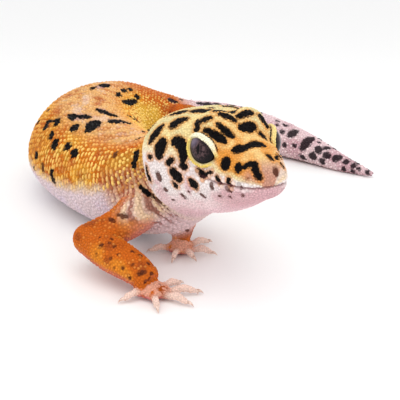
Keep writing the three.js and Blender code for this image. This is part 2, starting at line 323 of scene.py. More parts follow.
def round_place(route, cut=COAT):
    """A place function for a limb's or toe's route. Before its start it is a dome."""
    start = float(route.sizes[0, 0]) - cut

    def place(d, a, lift=0.0):
        centre, size, side, up = route.at(d.ravel())
        before = np.minimum(d.ravel(), 0)
        centre = centre + np.cross(side, up) * before[:, None]
        radius = (size[:, 0] - cut) * np.sqrt(np.clip(1 - (before / start) ** 2, 0, 1)) + lift
        angle = np.radians(a.ravel())[:, None]
        points = centre + (side * np.sin(angle) + up * np.cos(angle)) * radius[:, None]
        return points.reshape(*d.shape, 3)

    return place


def oval_place(middle, axes):
    """A place function for an ellipsoid, from pole to pole along its first axis."""

    def place(d, a):
        polar, angle = d * math.pi, np.radians(a)
        ball = np.stack([-np.cos(polar), np.sin(polar) * np.sin(angle), np.sin(polar) * np.cos(angle)], -1)
        return middle + ball @ axes

    return place


def domed(route):
    """Distances along a route, from the pole of the dome before its start."""
    start = float(route.sizes[0, 0]) - COAT
    return np.r_[-start * np.cos(np.linspace(0.12, 1.5, 7)), np.arange(0, route.length, 0.6), route.length]


LIMB_ROUTES = {
    name: {
        "upper": round_route(limb["upper"]),
        "lower": round_route(limb["lower"]),
        "toes": [toe_route(limb["palm"], *toe) for toe in limb["toes"]],
    }
    for name, limb in LIMBS.items()
}
LIMB_NAMES = list(LIMBS)
SPINE_DISTANCES = np.r_[
    0, 0.15, np.arange(0.5, 34, 0.5), np.arange(34, SPINE.length - 0.5, 1.0), SPINE.length
]


def source_parts():
    """(group, part number, loft) of every source loft but the two brows."""
    made = [("spine", 0, lofted(spine_point, SPINE_DISTANCES, 96))]
    for n, name in enumerate(LIMB_NAMES):
        routes = LIMB_ROUTES[name]
        upper = routes["upper"]
        made.append(("upper", n, lofted(round_place(upper), np.linspace(0, upper.length, 20))))
        made.append(("lower", n, lofted(round_place(routes["lower"]), domed(routes["lower"]))))
        size = np.subtract(LIMBS[name]["palm_size"], COAT)
        palm = oval_place(np.array(LIMBS[name]["palm"]), np.diag(size))
        made.append(("palm", n, lofted(palm, np.linspace(0.02, 0.98, 20))))
        for t, toe in enumerate(routes["toes"]):
            made.append(("toe", n * 5 + t, lofted(round_place(toe, 0.12), np.arange(0, toe.length, 0.3), 24)))
    return made


def joined(parts):
    """Points, triangles and rows of coords of several lofts as one."""
    start = np.cumsum([0] + [len(p) for p, _, _ in parts[:-1]])
    return (
        np.vstack([p for p, _, _ in parts]),
        np.vstack([t + s for (_, t, _), s in zip(parts, start)]),
        np.vstack([c for _, _, c in parts]),
    )


class Finder:
    """Reads part, distance, angle and gap at the nearest place on the lofts of one group."""

    def __init__(self, lofts, numbers):
        self.points, self.triangles, self.coords = joined(lofts)
        self.part = np.repeat(numbers, [len(p) for p, _, _ in lofts])
        self.tree = BVHTree.FromPolygons(self.points.tolist(), self.triangles.tolist())

    def __call__(self, points):
        found = [self.tree.find_nearest(p, FIND_REACH) for p in points.tolist()]
        place = np.array([tuple(hit[0]) if hit[0] else (0, 0, 0) for hit in found])
        index = np.array([hit[2] or 0 for hit in found])
        gap = np.array([hit[3] if hit[0] else np.inf for hit in found])
        corner = self.triangles[index]
        share = barycentric(place, *(self.points[corner[:, k]] for k in range(3)))
        coords = np.einsum("nk,nkc->nc", share, self.coords[corner])
        angle = np.degrees(np.arctan2(coords[:, 2], coords[:, 1]))
        return {"part": self.part[corner[:, 0]], "along": coords[:, 0], "angle": angle, "gap": gap}


def barycentric(p, a, b, c):
    v0, v1, v2 = b - a, c - a, p - a
    d00, d01, d11 = (np.einsum("ij,ij->i", x, y) for x, y in ((v0, v0), (v0, v1), (v1, v1)))
    d20, d21 = (np.einsum("ij,ij->i", v2, x) for x in (v0, v1))
    under = np.maximum(d00 * d11 - d01 * d01, 1e-12)
    v = (d11 * d20 - d01 * d21) / under
    w = (d00 * d21 - d01 * d20) / under
    share = np.clip(np.stack([1 - v - w, v, w], 1), 0, 1)
    return share / share.sum(1, keepdims=True)


def placed(name, data):
    """A new object with its data, in the scene."""
    made = bpy.data.objects.new(name, data)
    bpy.context.scene.collection.objects.link(made)
    return made


def remeshed(points, triangles):
    """The outer surface of overlapping closed meshes, as even quads."""
    mesh = bpy.data.meshes.new("remesh")
    mesh.from_pydata(points.tolist(), [], triangles.tolist())
    piece = placed("remesh", mesh)
    change = piece.modifiers.new("remesh", "REMESH")
    change.mode = "VOXEL"
    change.voxel_size = VOXEL
    mesh = bpy.data.meshes.new_from_object(piece.evaluated_get(bpy.context.evaluated_depsgraph_get()))
    bpy.data.objects.remove(piece)
    return mesh


def arrays_of(mesh):
    """The points and triangles of a mesh."""
    points = np.empty(len(mesh.vertices) * 3, np.float32)
    mesh.vertices.foreach_get("co", points)
    mesh.calc_loop_triangles()
    triangles = np.empty(len(mesh.loop_triangles) * 3, np.int32)
    mesh.loop_triangles.foreach_get("vertices", triangles)
    return points.reshape(-1, 3).astype(float), triangles.reshape(-1, 3)


def edges_of(triangles):
    pairs = np.vstack([triangles[:, [0, 1]], triangles[:, [1, 2]], triangles[:, [2, 0]]])
    return np.unique(np.sort(pairs, 1), axis=0)


def summed(index, values, count):
    return np.stack([np.bincount(index, values[:, k], count) for k in range(values.shape[1])], 1)


def smoothed(points, edges, weight, rounds):
    """Each point drawn towards the mean of its neighbours by its weight."""
    count = len(points)
    a, b = edges.T
    ends = np.r_[a, b]
    valence = np.maximum(np.bincount(ends, minlength=count), 1)[:, None]
    weight = np.broadcast_to(weight, count)[:, None]
    for _ in range(rounds):
        mean = summed(ends, points[np.r_[b, a]], count) / valence
        points = points + (mean - points) * weight
    return points


def spread(values, edges, rounds):
    """Values at points, each drawn to the mean of its neighbours."""
    return smoothed(values[:, None], edges, 1.0, rounds)[:, 0]


def normals_of(points, triangles):
    corner = points[triangles]
    face = np.cross(corner[:, 1] - corner[:, 0], corner[:, 2] - corner[:, 0])
    total = summed(triangles.ravel(), np.repeat(face, 3, axis=0), len(points))
    return unit(total + 1e-12)


def refined(mesh, chosen):
    """Splits the edges whose two ends are both chosen, given a test of places."""
    form = bmesh.new()
    form.from_mesh(mesh)
    inside = chosen(np.array([v.co[:] for v in form.verts]))
    edges = [e for e in form.edges if inside[e.verts[0].index] and inside[e.verts[1].index]]
    bmesh.ops.subdivide_edges(form, edges=edges, cuts=1, use_grid_fill=True)
    bmesh.ops.triangulate(form, faces=[f for f in form.faces if len(f.verts) > 4])
    form.to_mesh(mesh)
    form.free()


# The fine part of the skin: so far behind the snout, to each side, and below mouth level.
FINE_BACK, FINE_SIDE, FINE_DEPTH = 30, 13, 12.5
FINE_ROUND_EYE = 4.2  # and finer still, so far from the gaze's axis


def near_head(points):
    back, left, up = head_coords(points).T
    return (back < FINE_BACK) & (np.abs(left) < FINE_SIDE) & (up > -FINE_DEPTH)


def near_eye(points):
    found = np.zeros(len(points), bool)
    for eye in EYES.values():
        c = eye.coords(points)
        found |= (c[:, 2] > 0.2) & (np.hypot(c[:, 0], c[:, 1]) < FINE_ROUND_EYE)
    return found


def noise(points, size, seed, octaves=3):
    """Smooth noise from -1 to 1 at each point, with features about size across."""
    shares = 0.5 ** np.arange(octaves)
    layers = [lattice(points * 2**k / size + 17.3 * k, seed + k) * share for k, share in enumerate(shares)]
    return sum(layers) / shares.sum()


def bell(x, width):
    return np.exp(-((x / width) ** 2))


# Large odd numbers that scramble a cell's place and the seed.
HASH_PRIMES = (73856093, 19349663, 83492791)
SEED_PRIME, MIX_PRIME = 2654435761, 1274126177


def lattice(p, seed):
    """Noise between random values at whole numbers."""
    cell = np.floor(p).astype(np.int64)
    f = p - cell
    f = f * f * (3 - 2 * f)
    total = np.zeros(len(p))
    for corner in np.ndindex(2, 2, 2):
        key = cell + corner
        x, y, z = (key * HASH_PRIMES).T
        h = x ^ y ^ z ^ (seed * SEED_PRIME)
        h = (h ^ (h >> 13)) * MIX_PRIME & 0xFFFFFFFF
        value = ((h ^ (h >> 16)) & 0xFFFF) / 32767.5 - 1
        total += value * np.prod(np.where(corner, f, 1 - f), axis=1)
    return total

# Skin ----------

# The opening of the lids, as front and rise on the eyeball.
LID_OPENING = [
    (-2.15, 1.25), (-0.7, 1.65), (0.9, 1.15), (1.85, 0.3), (2.35, -0.95), (1.65, -1.75), (0.4, -2.2),
    (-0.9, -1.75), (-1.75, -0.6), (-2.1, 0.45),
]
UPPER_LID, LOWER_LID = 0.85, 0.5  # widths of the two lid bands
OPENED = {"right": 0.0, "left": 0.22}  # the left eye is a little wider open above
LID_RISE = {"right": 0.42, "left": 0.2}
# The mouth line: distance behind the snout and height above its level.
MOUTH_LINE = [(-2, -0.2), (2, -0.3), (6, -0.5), (9, -0.3), (15, 0.4), (17, 0)]


def closed_curve(points, count):
    """Catmull-Rom round a closed run of points."""
    points = np.asarray(points, float)
    t = np.arange(count) * len(points) / count
    i = t.astype(int)
    p0, p1, p2, p3 = (points[(i + k) % len(points)] for k in (-1, 0, 1, 2))
    return cubic(p1, p2, (p2 - p0) / 2, (p3 - p1) / 2, (t - i)[:, None])


def unrolled(coords):
    """Places on the eyeball as lengths over its surface from the gaze's middle, and degrees from there."""
    across = np.hypot(coords[:, 0], coords[:, 1])
    angle = np.arctan2(across, coords[:, 2])
    return coords[:, :2] * (angle * EYE_RADIUS / np.maximum(across, 1e-9))[:, None], np.degrees(angle)


def over_eye(start, end, places):
    """1 beside the places over the eye and in front of it, and 0 below and behind, in its unrolled plane."""
    return between(*start, *end, np.degrees(np.arctan2(places[:, 1], places[:, 0])))


def opened_wider(outline, share):
    """An outline drawn outwards by a share above the eye, and not below it."""
    return outline * (1 + share * over_eye((-12, 22), (120, 165), outline))[:, None]


def opening_outline():
    """The opening of the lids on the unrolled eyeball."""
    flat = closed_curve(LID_OPENING, 160)
    depth = np.sqrt(np.maximum(EYE_RADIUS**2 - (flat**2).sum(1), 0.04))
    return unrolled(np.column_stack([flat, depth]))[0]


OPENING = opening_outline()


def from_outline(places, outline):
    """How far each place is outside a closed outline, less than 0 inside, and the nearest place on it."""
    a, b = outline, np.roll(outline, -1, 0)
    gap = np.full(len(places), np.inf)
    nearest = np.zeros((len(places), 2))
    inside = np.zeros(len(places), bool)
    for (x0, y0), (x1, y1) in zip(a, b):
        run = np.array([x1 - x0, y1 - y0])
        share = np.clip(((places - (x0, y0)) @ run) / (run @ run), 0, 1)
        foot = (x0, y0) + share[:, None] * run
        d = np.linalg.norm(places - foot, axis=1)
        closer = d < gap
        gap[closer], nearest[closer] = d[closer], foot[closer]
        crosses = (places[:, 1] > y0) != (places[:, 1] > y1)
        cut = x0 + (places[:, 1] - y0) * (x1 - x0) / (y1 - y0 + 1e-12)
        inside ^= crosses & (places[:, 0] < cut)
    return np.where(inside, -gap, gap), nearest


def shape_lids(points, normals):
    """The skin round the eyes: sunk inside the opening, then a rim, a band, a groove and the brow."""
    lid = {"gap": np.full(len(points), np.inf), "width": np.ones(len(points))}
    lid |= {key: np.zeros(len(points)) for key in ("angle", "near", "yellow")}
    for name, eye in EYES.items():
        coords = eye.coords(points)
        near = (np.linalg.norm(coords, axis=1) < 7.5) & (coords[:, 2] > 0.1)
        c = coords[near]
        reach = np.linalg.norm(c, axis=1)
        flat, angle = unrolled(c)
        gap, foot = from_outline(flat, opened_wider(OPENING, OPENED[name]))
        drawn = np.abs(gap) < 0.09
        flat[drawn] += (foot - flat)[drawn] * 0.9
        gap[drawn] *= 0.1
        across = np.maximum(np.linalg.norm(flat, axis=1), 1e-9)
        turn = across / EYE_RADIUS
        direction = np.column_stack([flat * (np.sin(turn) / across)[:, None], np.cos(turn)])
        width = LOWER_LID + (UPPER_LID - LOWER_LID) * over_eye((-25, 25), (120, 170), foot)
        band = np.clip(gap / width, 0, 1.35)
        crown = EYE_RADIUS + 0.02 + LID_RISE[name] * np.sin(np.pi * np.clip(band * 0.75 + 0.1, 0, 1)) ** 0.6
        lidded = crown - 0.26 * bell(gap - width - 0.1, 0.16)
        beyond = ease(0.1, 1.7, gap - width)
        settled = lidded * (1 - beyond) + np.maximum(reach, EYE_RADIUS + 0.25 * (1 - beyond)) * beyond
        sunk = EYE_RADIUS - 0.45 - 0.6 * ease(0.0, 0.6, -gap)
        rim = ease(-0.06, 0.03, gap)
        target = np.where(angle > 100, reach, sunk * (1 - rim) + settled * rim)
        facing = (normals[near] * unit(points[near] - eye.centre)).sum(1)
        share = fall(2.0, 3.2, gap) * np.maximum(ease(0.15, 0.6, facing), gap < 0.03)
        share = (share * fall(EYE_RADIUS + 1.0, EYE_RADIUS + 2.4, reach))[:, None]
        moved = eye.place(direction * target[:, None] * share + c * (1 - share))
        points[near] = np.where((gap < 3.2)[:, None], moved, points[near])
        lid["gap"][near] = np.where(reach < EYE_RADIUS + 1.6, gap, np.maximum(gap, 2.5))
        lid["yellow"][near] = name == "left"
        lid["width"][near] = width
        lid["angle"][near] = np.degrees(np.arctan2(foot[:, 1], foot[:, 0]))
        lid["near"][near] = fall(EYE_RADIUS + 0.9, EYE_RADIUS + 1.7, reach)
    return lid


def mouth_gap(points):
    """How far each place is above the mouth line, and how strongly the line is drawn there."""
    back, _, up = head_coords(points).T
    line = np.interp(back, *np.transpose(MOUTH_LINE))
    strength = (1 - 0.7 * ease(7, 10.5, back)) * between(-3, -1, 12, 15, back)
    return up - line, strength


def capsules(points, chain):
    """The distance of each point from a chain of (x, y, z, radius), less than 0 inside."""
    chain = np.asarray(chain, float)
    if len(chain) == 1:
        return np.linalg.norm(points - chain[0, :3], axis=1) - chain[0, 3]
    gap = np.full(len(points), np.inf)
    for start, end in zip(chain[:-1], chain[1:]):
        run = end[:3] - start[:3]
        share = np.clip((points - start[:3]) @ run / max(run @ run, 1e-9), 0, 1)
        foot = start[:3] + share[:, None] * run
        radius = start[3] + share * (end[3] - start[3])
        gap = np.minimum(gap, np.linalg.norm(points - foot, axis=1) - radius)
    return gap


def valley(x, spacing, width):
    """1 at the bottom of evenly spaced creases, 0 between them."""
    return bell(((x / spacing + 0.5) % 1 - 0.5) * spacing, width)


def ridges(points, along, angle):
    """Height of the folds and creases of the loose skin, in millimetres, along each normal."""
    side = np.abs(angle)
    warp = noise(points, 5.0, 40)
    fine = noise(points, 1.6, 41)
    neck = between(31, 34, 43, 47, along) * ease(70, 92, side)
    height = -0.34 * neck * valley(along + 0.5 * warp + 0.2 * fine, 1.3, 0.27)
    throat = between(8, 12, 24, 30, along) * ease(122, 134, side)
    height -= 0.16 * throat * valley(side * 0.16 + 0.6 * warp, 1.25, 0.28)
    flank = between(44, 50, 108, 116, along) * between(38, 58, 96, 108, side)
    height -= 0.14 * flank * valley(along + 0.7 * warp + 0.25 * fine, 1.25, 0.26)
    belly = between(46, 50, 100, 108, along) * ease(92, 100, side)
    height -= 0.1 * belly * valley(along + 0.8 * warp, 1.5, 0.3)
    tail = between(128, 138, 192, 196, along)
    ring = 2.6 - 0.9 * ease(150, 192, along)
    height -= 0.2 * tail * valley(along + 0.3 * warp + ring / 2, ring, 0.32)
    return height + 0.16 * warp * ease(30, 45, along)


def sculpt(points, triangles, edges, place, on_spine):
    """Folds, mouth, nostrils, ears and lids. Returns the points and what the lids' colours need."""
    normals = normals_of(points, triangles)
    height = ridges(points, place["along"], place["angle"]) * on_spine
    above, mouth = mouth_gap(points)
    lips = 0.1 * bell(above - 0.5, 0.35) + 0.06 * bell(above + 0.5, 0.35) - 0.34 * bell(above, 0.17)
    height += mouth * on_spine * lips
    for side in (1, -1):
        gap = np.linalg.norm(points - spine_point(0.95, side * 71), axis=1)
        height += 0.16 * bell(gap - 0.55, 0.3) - 0.5 * bell(gap, 0.33)
        ear = [(*spine_point(22.0, side * 101), 0.05), (*spine_point(22.1, side * 112), 0.12)]
        gap = capsules(points, ear)
        height += 0.1 * bell(gap - 0.5, 0.3) - 0.55 * bell(np.maximum(gap, 0), 0.3)
    points = points + normals * height[:, None]
    lid = shape_lids(points, normals)
    far = lid["gap"] > 0.25
    points[far] = smoothed(points, edges, 0.25, 1)[far]
    points[:, 2] = np.maximum(points[:, 2], FLOOR_GAP)
    return points, lid


def build_skin():
    """One surface over every source part, with where each of its points is on the body."""
    parts = source_parts()
    brow = np.diag(np.subtract(BROW, COAT))
    brows = [
        lofted(oval_place(eye.place(BROW_MIDDLE), brow @ eye.axes), np.linspace(0.02, 0.98, 24))
        for eye in EYES.values()
    ]
    mesh = remeshed(*joined([loft for *_, loft in parts] + brows)[:2])
    refined(mesh, near_head)
    refined(mesh, near_eye)
    points, triangles = arrays_of(mesh)
    edges = edges_of(triangles)
    finders = []
    for group in GROUPS:
        mine = [(loft, part) for g, part, loft in parts if g == group]
        finders.append(Finder(*zip(*mine)))
    gaps = np.sort([np.abs(find(points)["gap"]) for find in finders], axis=0)
    join = fall(0.5, JOIN_REACH, gaps[1])
    brow_join = near_eye(points) & (np.abs(gaps[0]) < 1.2)
    points = smoothed(points, edges, np.maximum(join, 0.4 * brow_join) * 0.5, 24)
    points = smoothed(points, edges, 0.5, 2)
    found = [find(points) for find in finders]
    gap = np.array([f["gap"] for f in found])
    gap[0] = np.where(near_head(points), 0, gap[0])
    group = gap.argmin(0)
    place = {key: np.choose(group, [f[key] for f in found]) for key in ("part", "along", "angle")}
    spine = (group == 0).astype(float)
    points, lid = sculpt(points, triangles, edges, place, spread(spine, edges, 6))
    share = np.clip(2 * spread(spine, edges, 24), 0, 1)[:, None]
    body = {"group": np.zeros(len(points), int), "along": found[0]["along"], "angle": found[0]["angle"]}
    place |= {"points": points, "triangles": triangles, "group": group}
    return place | {"lid": lid, "body": body, "share": share}


def add_piece(name, points, triangles, slot, material, tint=None, gaze=None):
    """Writes a mesh in metres in the row's frame and makes it ride on the body."""
    mesh = bpy.data.meshes.new(name)
    mesh.vertices.add(len(points))
    mesh.vertices.foreach_set("co", ((points + SHIFT) * MM).astype(np.float32).ravel())
    mesh.loops.add(triangles.size)
    mesh.loops.foreach_set("vertex_index", triangles.astype(np.int32).ravel())
    mesh.polygons.add(len(triangles))
    mesh.polygons.foreach_set("loop_start", np.arange(0, triangles.size, 3, dtype=np.int32))
    if tint is not None:
        rgba = np.column_stack([tint, np.ones(len(tint))])
        layer = mesh.color_attributes.new("tint", "FLOAT_COLOR", "POINT")
        layer.data.foreach_set("color", rgba.astype(np.float32).ravel())
    if gaze is not None:
        layer = mesh.attributes.new("gaze", "FLOAT_VECTOR", "POINT")
        layer.data.foreach_set("vector", gaze.astype(np.float32).ravel())
    mesh.update(calc_edges=True)
    mesh.validate()
    mesh.shade_smooth()
    mesh.materials.append(material)
    piece = placed(name, mesh)
    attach(piece, "root")
    return piece


def row_shift():
    """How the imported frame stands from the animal's own, read at the middle of the right eye."""
    low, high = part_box("eye_right")
    middle = np.array((low + high) / 2) / MM
    return middle - EYES["right"].centre


SHIFT = row_shift()

# Markings ----------
# A mark is a run of (distance behind the snout, degrees from the back towards the right side, half width).

HEAD_BLACK = [
    [(18.1, 70, 0.85), (18.4, 77, 0.95), (18.5, 84, 0.75)],
    [(15.6, 66, 0.7), (14.9, 65, 1), (14, 68, 1.1), (13.3, 72, 0.95), (13.2, 79, 0.7), (13.1, 83, 0.5)],
    [(20, 49, 0.35), (20.2, 54, 0.6), (20.4, 60, 0.72), (20.8, 66, 0.6), (21.1, 72, 0.35)],
    [(16.9, 33, 0.35), (17.5, 36, 0.55), (17.8, 40, 0.6), (17.9, 45, 0.65), (18, 49, 0.4)],
    [(19.8, 20, 0.45), (20.5, 25, 0.7), (21.2, 29, 0.5)],
    [(18.3, 17, 0.65), (17.6, 13, 0.9), (16.7, 9, 0.75)],
    [(12.4, 14, 0.6), (12.5, 9, 0.85), (12.8, 4, 0.85), (13.5, -3, 0.85), (13.9, -7, 0.7)],
    [(10.8, 14, 0.5), (10.2, 10, 0.85), (9.6, 5, 0.75)],
    [(10.6, -2, 0.78), (10.4, -6, 0.95), (10.4, -10, 0.8)],
    [(9.9, -24, 0.85), (9.7, -28, 1), (9.6, -32, 0.9)], [(8.6, 0, 0.9), (8.4, -5, 1.08), (8.3, -9, 0.85)],
    [(7.4, -20, 0.64), (7.1, -25, 0.7)],
    [(5.3, 31, 0.45), (5, 27, 0.9), (4.9, 22, 1.02), (4.8, 17, 0.85), (4.7, 12, 0.62), (4.8, 7, 0.6)],
    [(4.8, 7, 0.6), (4.9, 2, 0.75), (5.1, -3, 0.95), (4.9, -8, 0.85), (4.5, -12, 0.5)],
    [(2.7, 56, 0.7), (2.6, 60, 0.66)], [(2, 48, 0.4), (1.9, 40, 0.5), (1.7, 31, 0.62), (1.5, 24, 0.55)],
    [(1.3, 27, 0.6), (0.8, 33, 0.64), (0.4, 39, 0.6), (0.2, 45, 0.45)], [(5, 61, 0.98), (4.9, 64, 0.95)],
    [(2.4, -9, 0.35), (1.9, -13, 0.45), (1.6, -17, 0.3)],
    [(1.9, -27, 0.4), (2.2, -31, 0.35), (2.6, -35, 0.3)], [(3.2, -42, 0.35), (3, -48, 0.4)],
    [(1.4, -44, 0.3), (1.3, -52, 0.36)],
    [(13.6, 34, 0.4), (13.1, 37, 0.5), (12.5, 40, 0.5), (12.6, 44, 0.4)],
    [(12.3, 33, 0.45), (11.7, 29, 0.6), (11.2, 25, 0.5)],
    [(10.6, 40, 0.45), (10, 38, 0.6), (9.2, 37, 0.72), (8.5, 34, 0.72), (7.9, 32, 0.6), (7.4, 31, 0.4)],
    [(9.6, 24, 0.35), (9, 23, 0.5), (8.4, 21, 0.6), (7.9, 19, 0.65), (7.5, 17, 0.45)],
    [(15.5, 85, 0.45), (16.4, 89, 0.42)], [(20.8, 87, 0.5)],
    [(13.4, 88, 0.4), (12.6, 87, 0.5), (12.8, 89, 0.4)],
    [(10.3, 87, 0.3), (9.6, 89, 0.5), (8.8, 91, 0.55), (8.2, 88, 0.4), (7.2, 84, 0.3)],
    [(15.1, 94, 0.9), (14.5, 96, 1), (14.3, 98, 0.8)], [(15.4, 104, 0.35), (15.1, 107, 0.42)],
    [(22.6, 93, 0.4), (22.6, 99, 0.5), (22.3, 106, 0.45)],
    [(11.3, 97, 0.5), (10.9, 100, 0.82), (10.5, 102, 0.72)], [(6, 88, 0.36), (5.5, 92, 0.44)],
    [(3.8, 86, 0.4), (3.6, 92, 0.46)],
]
JAW_BROWN = [
    [(19, 98, 0.42), (18.8, 103, 0.46)], [(4.2, 103, 0.36), (3.6, 105, 0.42)], [(1.7, 91, 0.4)],
    [(7.1, 99, 0.42), (7, 103, 0.44)], [(9.8, 114, 0.32), (9.2, 118, 0.38)], [(6.1, 119, 0.38)],
    [(14.4, 118, 0.42), (14, 122, 0.32)], [(18.1, 114, 0.4)], [(4.3, 124, 0.36)], [(1.8, 122, 0.34)],
    [(18, 130, 0.3)], [(12.2, 112, 0.28)], [(0.4, -22, 0.55), (0.2, -30, 0.45)], [(18, 2, 0.5)],
    [(22.3, 33, 0.32)],
]
BODY_BLACK = [
    [(35.4, 50, 0.55), (35.3, 55, 0.68), (35.5, 60, 0.65), (35.8, 66, 0.65), (36.1, 74, 0.4)],
    [(36.4, 96, 0.35), (36, 101, 0.5), (35.5, 105, 0.55), (35, 109, 0.4)],
    [(39.5, 16, 0.35), (39.5, 11, 0.6), (39, 7, 0.55), (38.5, 3, 0.4)],
    [(56.4, 50, 0.55), (56, 54, 0.85), (55.7, 58, 0.5)], [(60.3, 47, 0.5), (60, 50, 0.8), (59.8, 54, 0.55)],
    [(65.6, 50, 0.6), (65.4, 54, 0.85), (65, 58, 0.65)], [(70, 46, 0.5), (69.3, 49, 0.68), (68.9, 52, 0.45)],
    [(65, 25, 0.73), (64.4, 28, 0.95), (64, 31, 0.61)],
    [(62.8, 82, 0.5), (62.9, 86, 0.65), (62.4, 90, 0.5), (62, 94, 0.35)],
    [(62.8, 6, 0.85), (62.5, 9, 1.22), (61.5, 13, 1.28), (60.5, 17, 1.1), (59.7, 22, 0.73)],
    [(61, -3, 0.73), (61.8, -7, 1.1), (62, -12, 1.04), (62, -17, 0.88), (61.7, -23, 0.55)],
    [(73, -5, 0.61), (71.5, -8, 0.98), (70, -11, 0.85), (68.8, -14, 0.76), (68.4, -18, 0.49)],
    [(70.5, 21, 0.85), (71.5, 19, 1.04), (70.3, 16, 0.73), (69.5, 13, 0.76), (68.8, 10, 0.92), (68, 7, 0.67)],
    [(98.5, -3, 0.73), (98, -8, 0.98), (97, -11, 0.61)], [(93.5, -1, 0.79)],
    [(94.5, -27.5, 0.55), (92.8, -28.5, 0.67)], [(100.8, -27, 0.67), (100, -29, 0.61)], [(104.8, -28, 0.73)],
    [(104.8, -41, 0.73), (104, -44, 0.49)],
    [(89.5, -36, 0.55), (91, -40, 0.79), (93.5, -43, 0.92), (96.5, -45, 0.88), (99.5, -46, 0.76),
     (101.5, -46, 0.49)],
]
BODY_BROWN = [
    [(34.6, 112, 0.32), (34.2, 118, 0.3), (33.8, 124, 0.26), (33.6, 130, 0.2)],
    [(42.3, 42, 0.45), (42.2, 46, 0.5), (42.4, 49, 0.35)], [(67.6, 82, 0.42), (67.5, 87, 0.5)],
    [(83.5, 38, 0.5)],
]
RUST = [
    [(47.5, 43, 0.6), (47.3, 48, 0.8)], [(44.5, 50, 0.7)], [(51.5, 78, 0.8), (51.3, 81, 0.6)],
    [(48.7, 77, 0.6)], [(43, 92, 0.6)], [(39.5, 92, 0.7), (41, 97, 0.7)], [(88.5, 18, 0.7)],
    [(91.5, 13, 0.6)], [(84, -11, 0.9)], [(79, -9, 0.7)], [(75, 44, 1)], [(78, 28, 0.8)], [(55, 66, 0.8)],
    [(58, 76, 0.7)], [(121, -56, 1.4), (122, -66, 1.2)],
]
TAIL_PURPLE = [
    [(125, -34, 0.6), (127, -31, 0.85), (128.6, -30, 0.5)], [(131.5, -12, 0.5)], [(138.2, -15, 0.75)],
    [(140.6, -12, 0.75), (140.8, -22, 0.85)], [(143.5, -8, 0.8)], [(148, 2, 0.75)], [(152, 5, 0.7)],
    [(157, 5, 0.8)], [(164.3, -5, 0.5)], [(165.5, -25, 0.45)], [(167.5, -10, 0.6)],
    [(168.6, -41, 0.5), (168.6, -46, 0.4)],
    [(171.6, -12, 0.45), (171.7, -20, 0.72), (171.6, -30, 0.88), (171.5, -40, 0.7), (171.3, -48, 0.45)],
    [(171, -82, 0.4), (171, -90, 0.4)], [(174, -75, 0.5)],
    [(177, 0, 0.4), (177, -10, 0.62), (177, -25, 0.85), (177, -40, 0.85), (177, -55, 0.82),
     (176.7, -74, 0.6)],
    [(176.8, -112, 0.55), (177.5, -122, 0.5)], [(179.7, -8, 0.4)],
    [(181, -36, 0.5), (181.2, -46, 0.82), (181.5, -56, 0.62)],
    [(180.4, -82, 0.6), (180.5, -92, 0.85), (180.6, -102, 0.6)],
    [(183, -3, 0.5), (182.6, -15, 0.6), (182.3, -25, 0.4)],
    [(184.2, -48, 0.5), (184.3, -58, 0.78), (184.3, -68, 0.5)], [(183.5, -98, 0.62), (183.6, -112, 0.55)],
    [(187.6, -22, 0.5), (187.4, -35, 0.68), (187, -50, 0.75), (186.8, -65, 0.5)],
    [(190, -30, 0.5), (189.8, -50, 0.55)], [(192.2, -35, 0.5), (192.2, -60, 0.5)],
    [(189.8, -105, 0.4), (189.8, -120, 0.45)], [(192.3, -120, 0.5)], [(193.8, -65, 0.42)],
    [(196.2, -60, 0.4), (196.4, -100, 0.4)],
]
LILAC = [
    [(95.5, -5, 0.9), (97, -7, 1.1)], [(72, -8, 1.1), (70, -11, 1)], [(70.5, 19, 1.1), (69, 11, 1)],
    [(62.8, 8, 1.2), (61.5, 13, 1.3)], [(62, -8, 1.15), (62, -15, 1)], [(126.5, -32, 1.1)],
    [(140, -16, 1.3)], [(10.1, -7, 0.45)],
]
PALE = [
    [(65, -2, 0.9), (64.3, 1, 0.9), (66.5, 3, 0.8)], [(66.5, -4, 0.7)], [(74, 14, 0.8), (76, 10, 0.9)],
    [(84, 0, 0.9), (80, 1, 0.8)], [(102, -4, 0.8)],
]
# A mark on a limb is a run of (distance from the limb's start, degrees from its top, half width).
LIMB_MARKS = {
    ("upper", "arm_right"): [
        [(11.8, 28, 0.4), (11.5, 36, 0.5)], [(10.2, 30, 0.35), (9.7, 38, 0.5), (9.3, 46, 0.4)],
    ],
    ("lower", "arm_right"): [
        [(5.7, -42, 0.4), (5.5, -48, 0.3)], [(5.5, -77, 0.3)], [(4.3, -25, 0.28)], [(6.2, -6, 0.3)],
        [(6.5, -23, 0.3)], [(7.9, -26, 0.35)], [(8.6, -62, 0.32)], [(9.4, -40, 0.3)], [(10.8, 4, 0.45)],
        [(12, 12, 0.42)], [(14, 14, 0.42)], [(11.4, -72, 0.35)], [(9.8, -85, 0.28)], [(13.3, -90, 0.35)],
        [(12.6, -40, 0.3)], [(14.3, -55, 0.35), (14.6, -40, 0.5), (14.8, -28, 0.4)], [(15.8, -5, 0.38)],
        [(15.9, -66, 0.35)], [(16, -32, 0.35)],
    ],
    ("lower", "arm_left"): [[(10, 45, 0.35)], [(9.5, 0, 0.45)], [(7, 60, 0.4)]],
}
HAND_TOP = 2.5
# Dots on the right hand: X and Y from its palm, and half width.
HAND_MARKS = [(-1.2, -0.3, 0.4), (0.1, 0, 0.35), (1.5, 0.4, 0.3), (1.7, -1, 0.4)]
# The marks that are repeated on the other side: those beyond an angle, from one distance to another.
MIRRORED = [
    ("black", HEAD_BLACK, 40, 4, 26),
    ("brown", JAW_BROWN, 90, 0, 26),
    ("purple", TAIL_PURPLE, -130, 150, 198),
]
TAIL_TURN = 150  # how far round the tail its marks are repeated


def srgb(*levels):
    """The linear colour of three display levels out of 255."""
    v = np.array(levels, float) / 255
    return np.where(v <= 0.04045, v / 12.92, ((v + 0.055) / 1.055) ** 2.4)


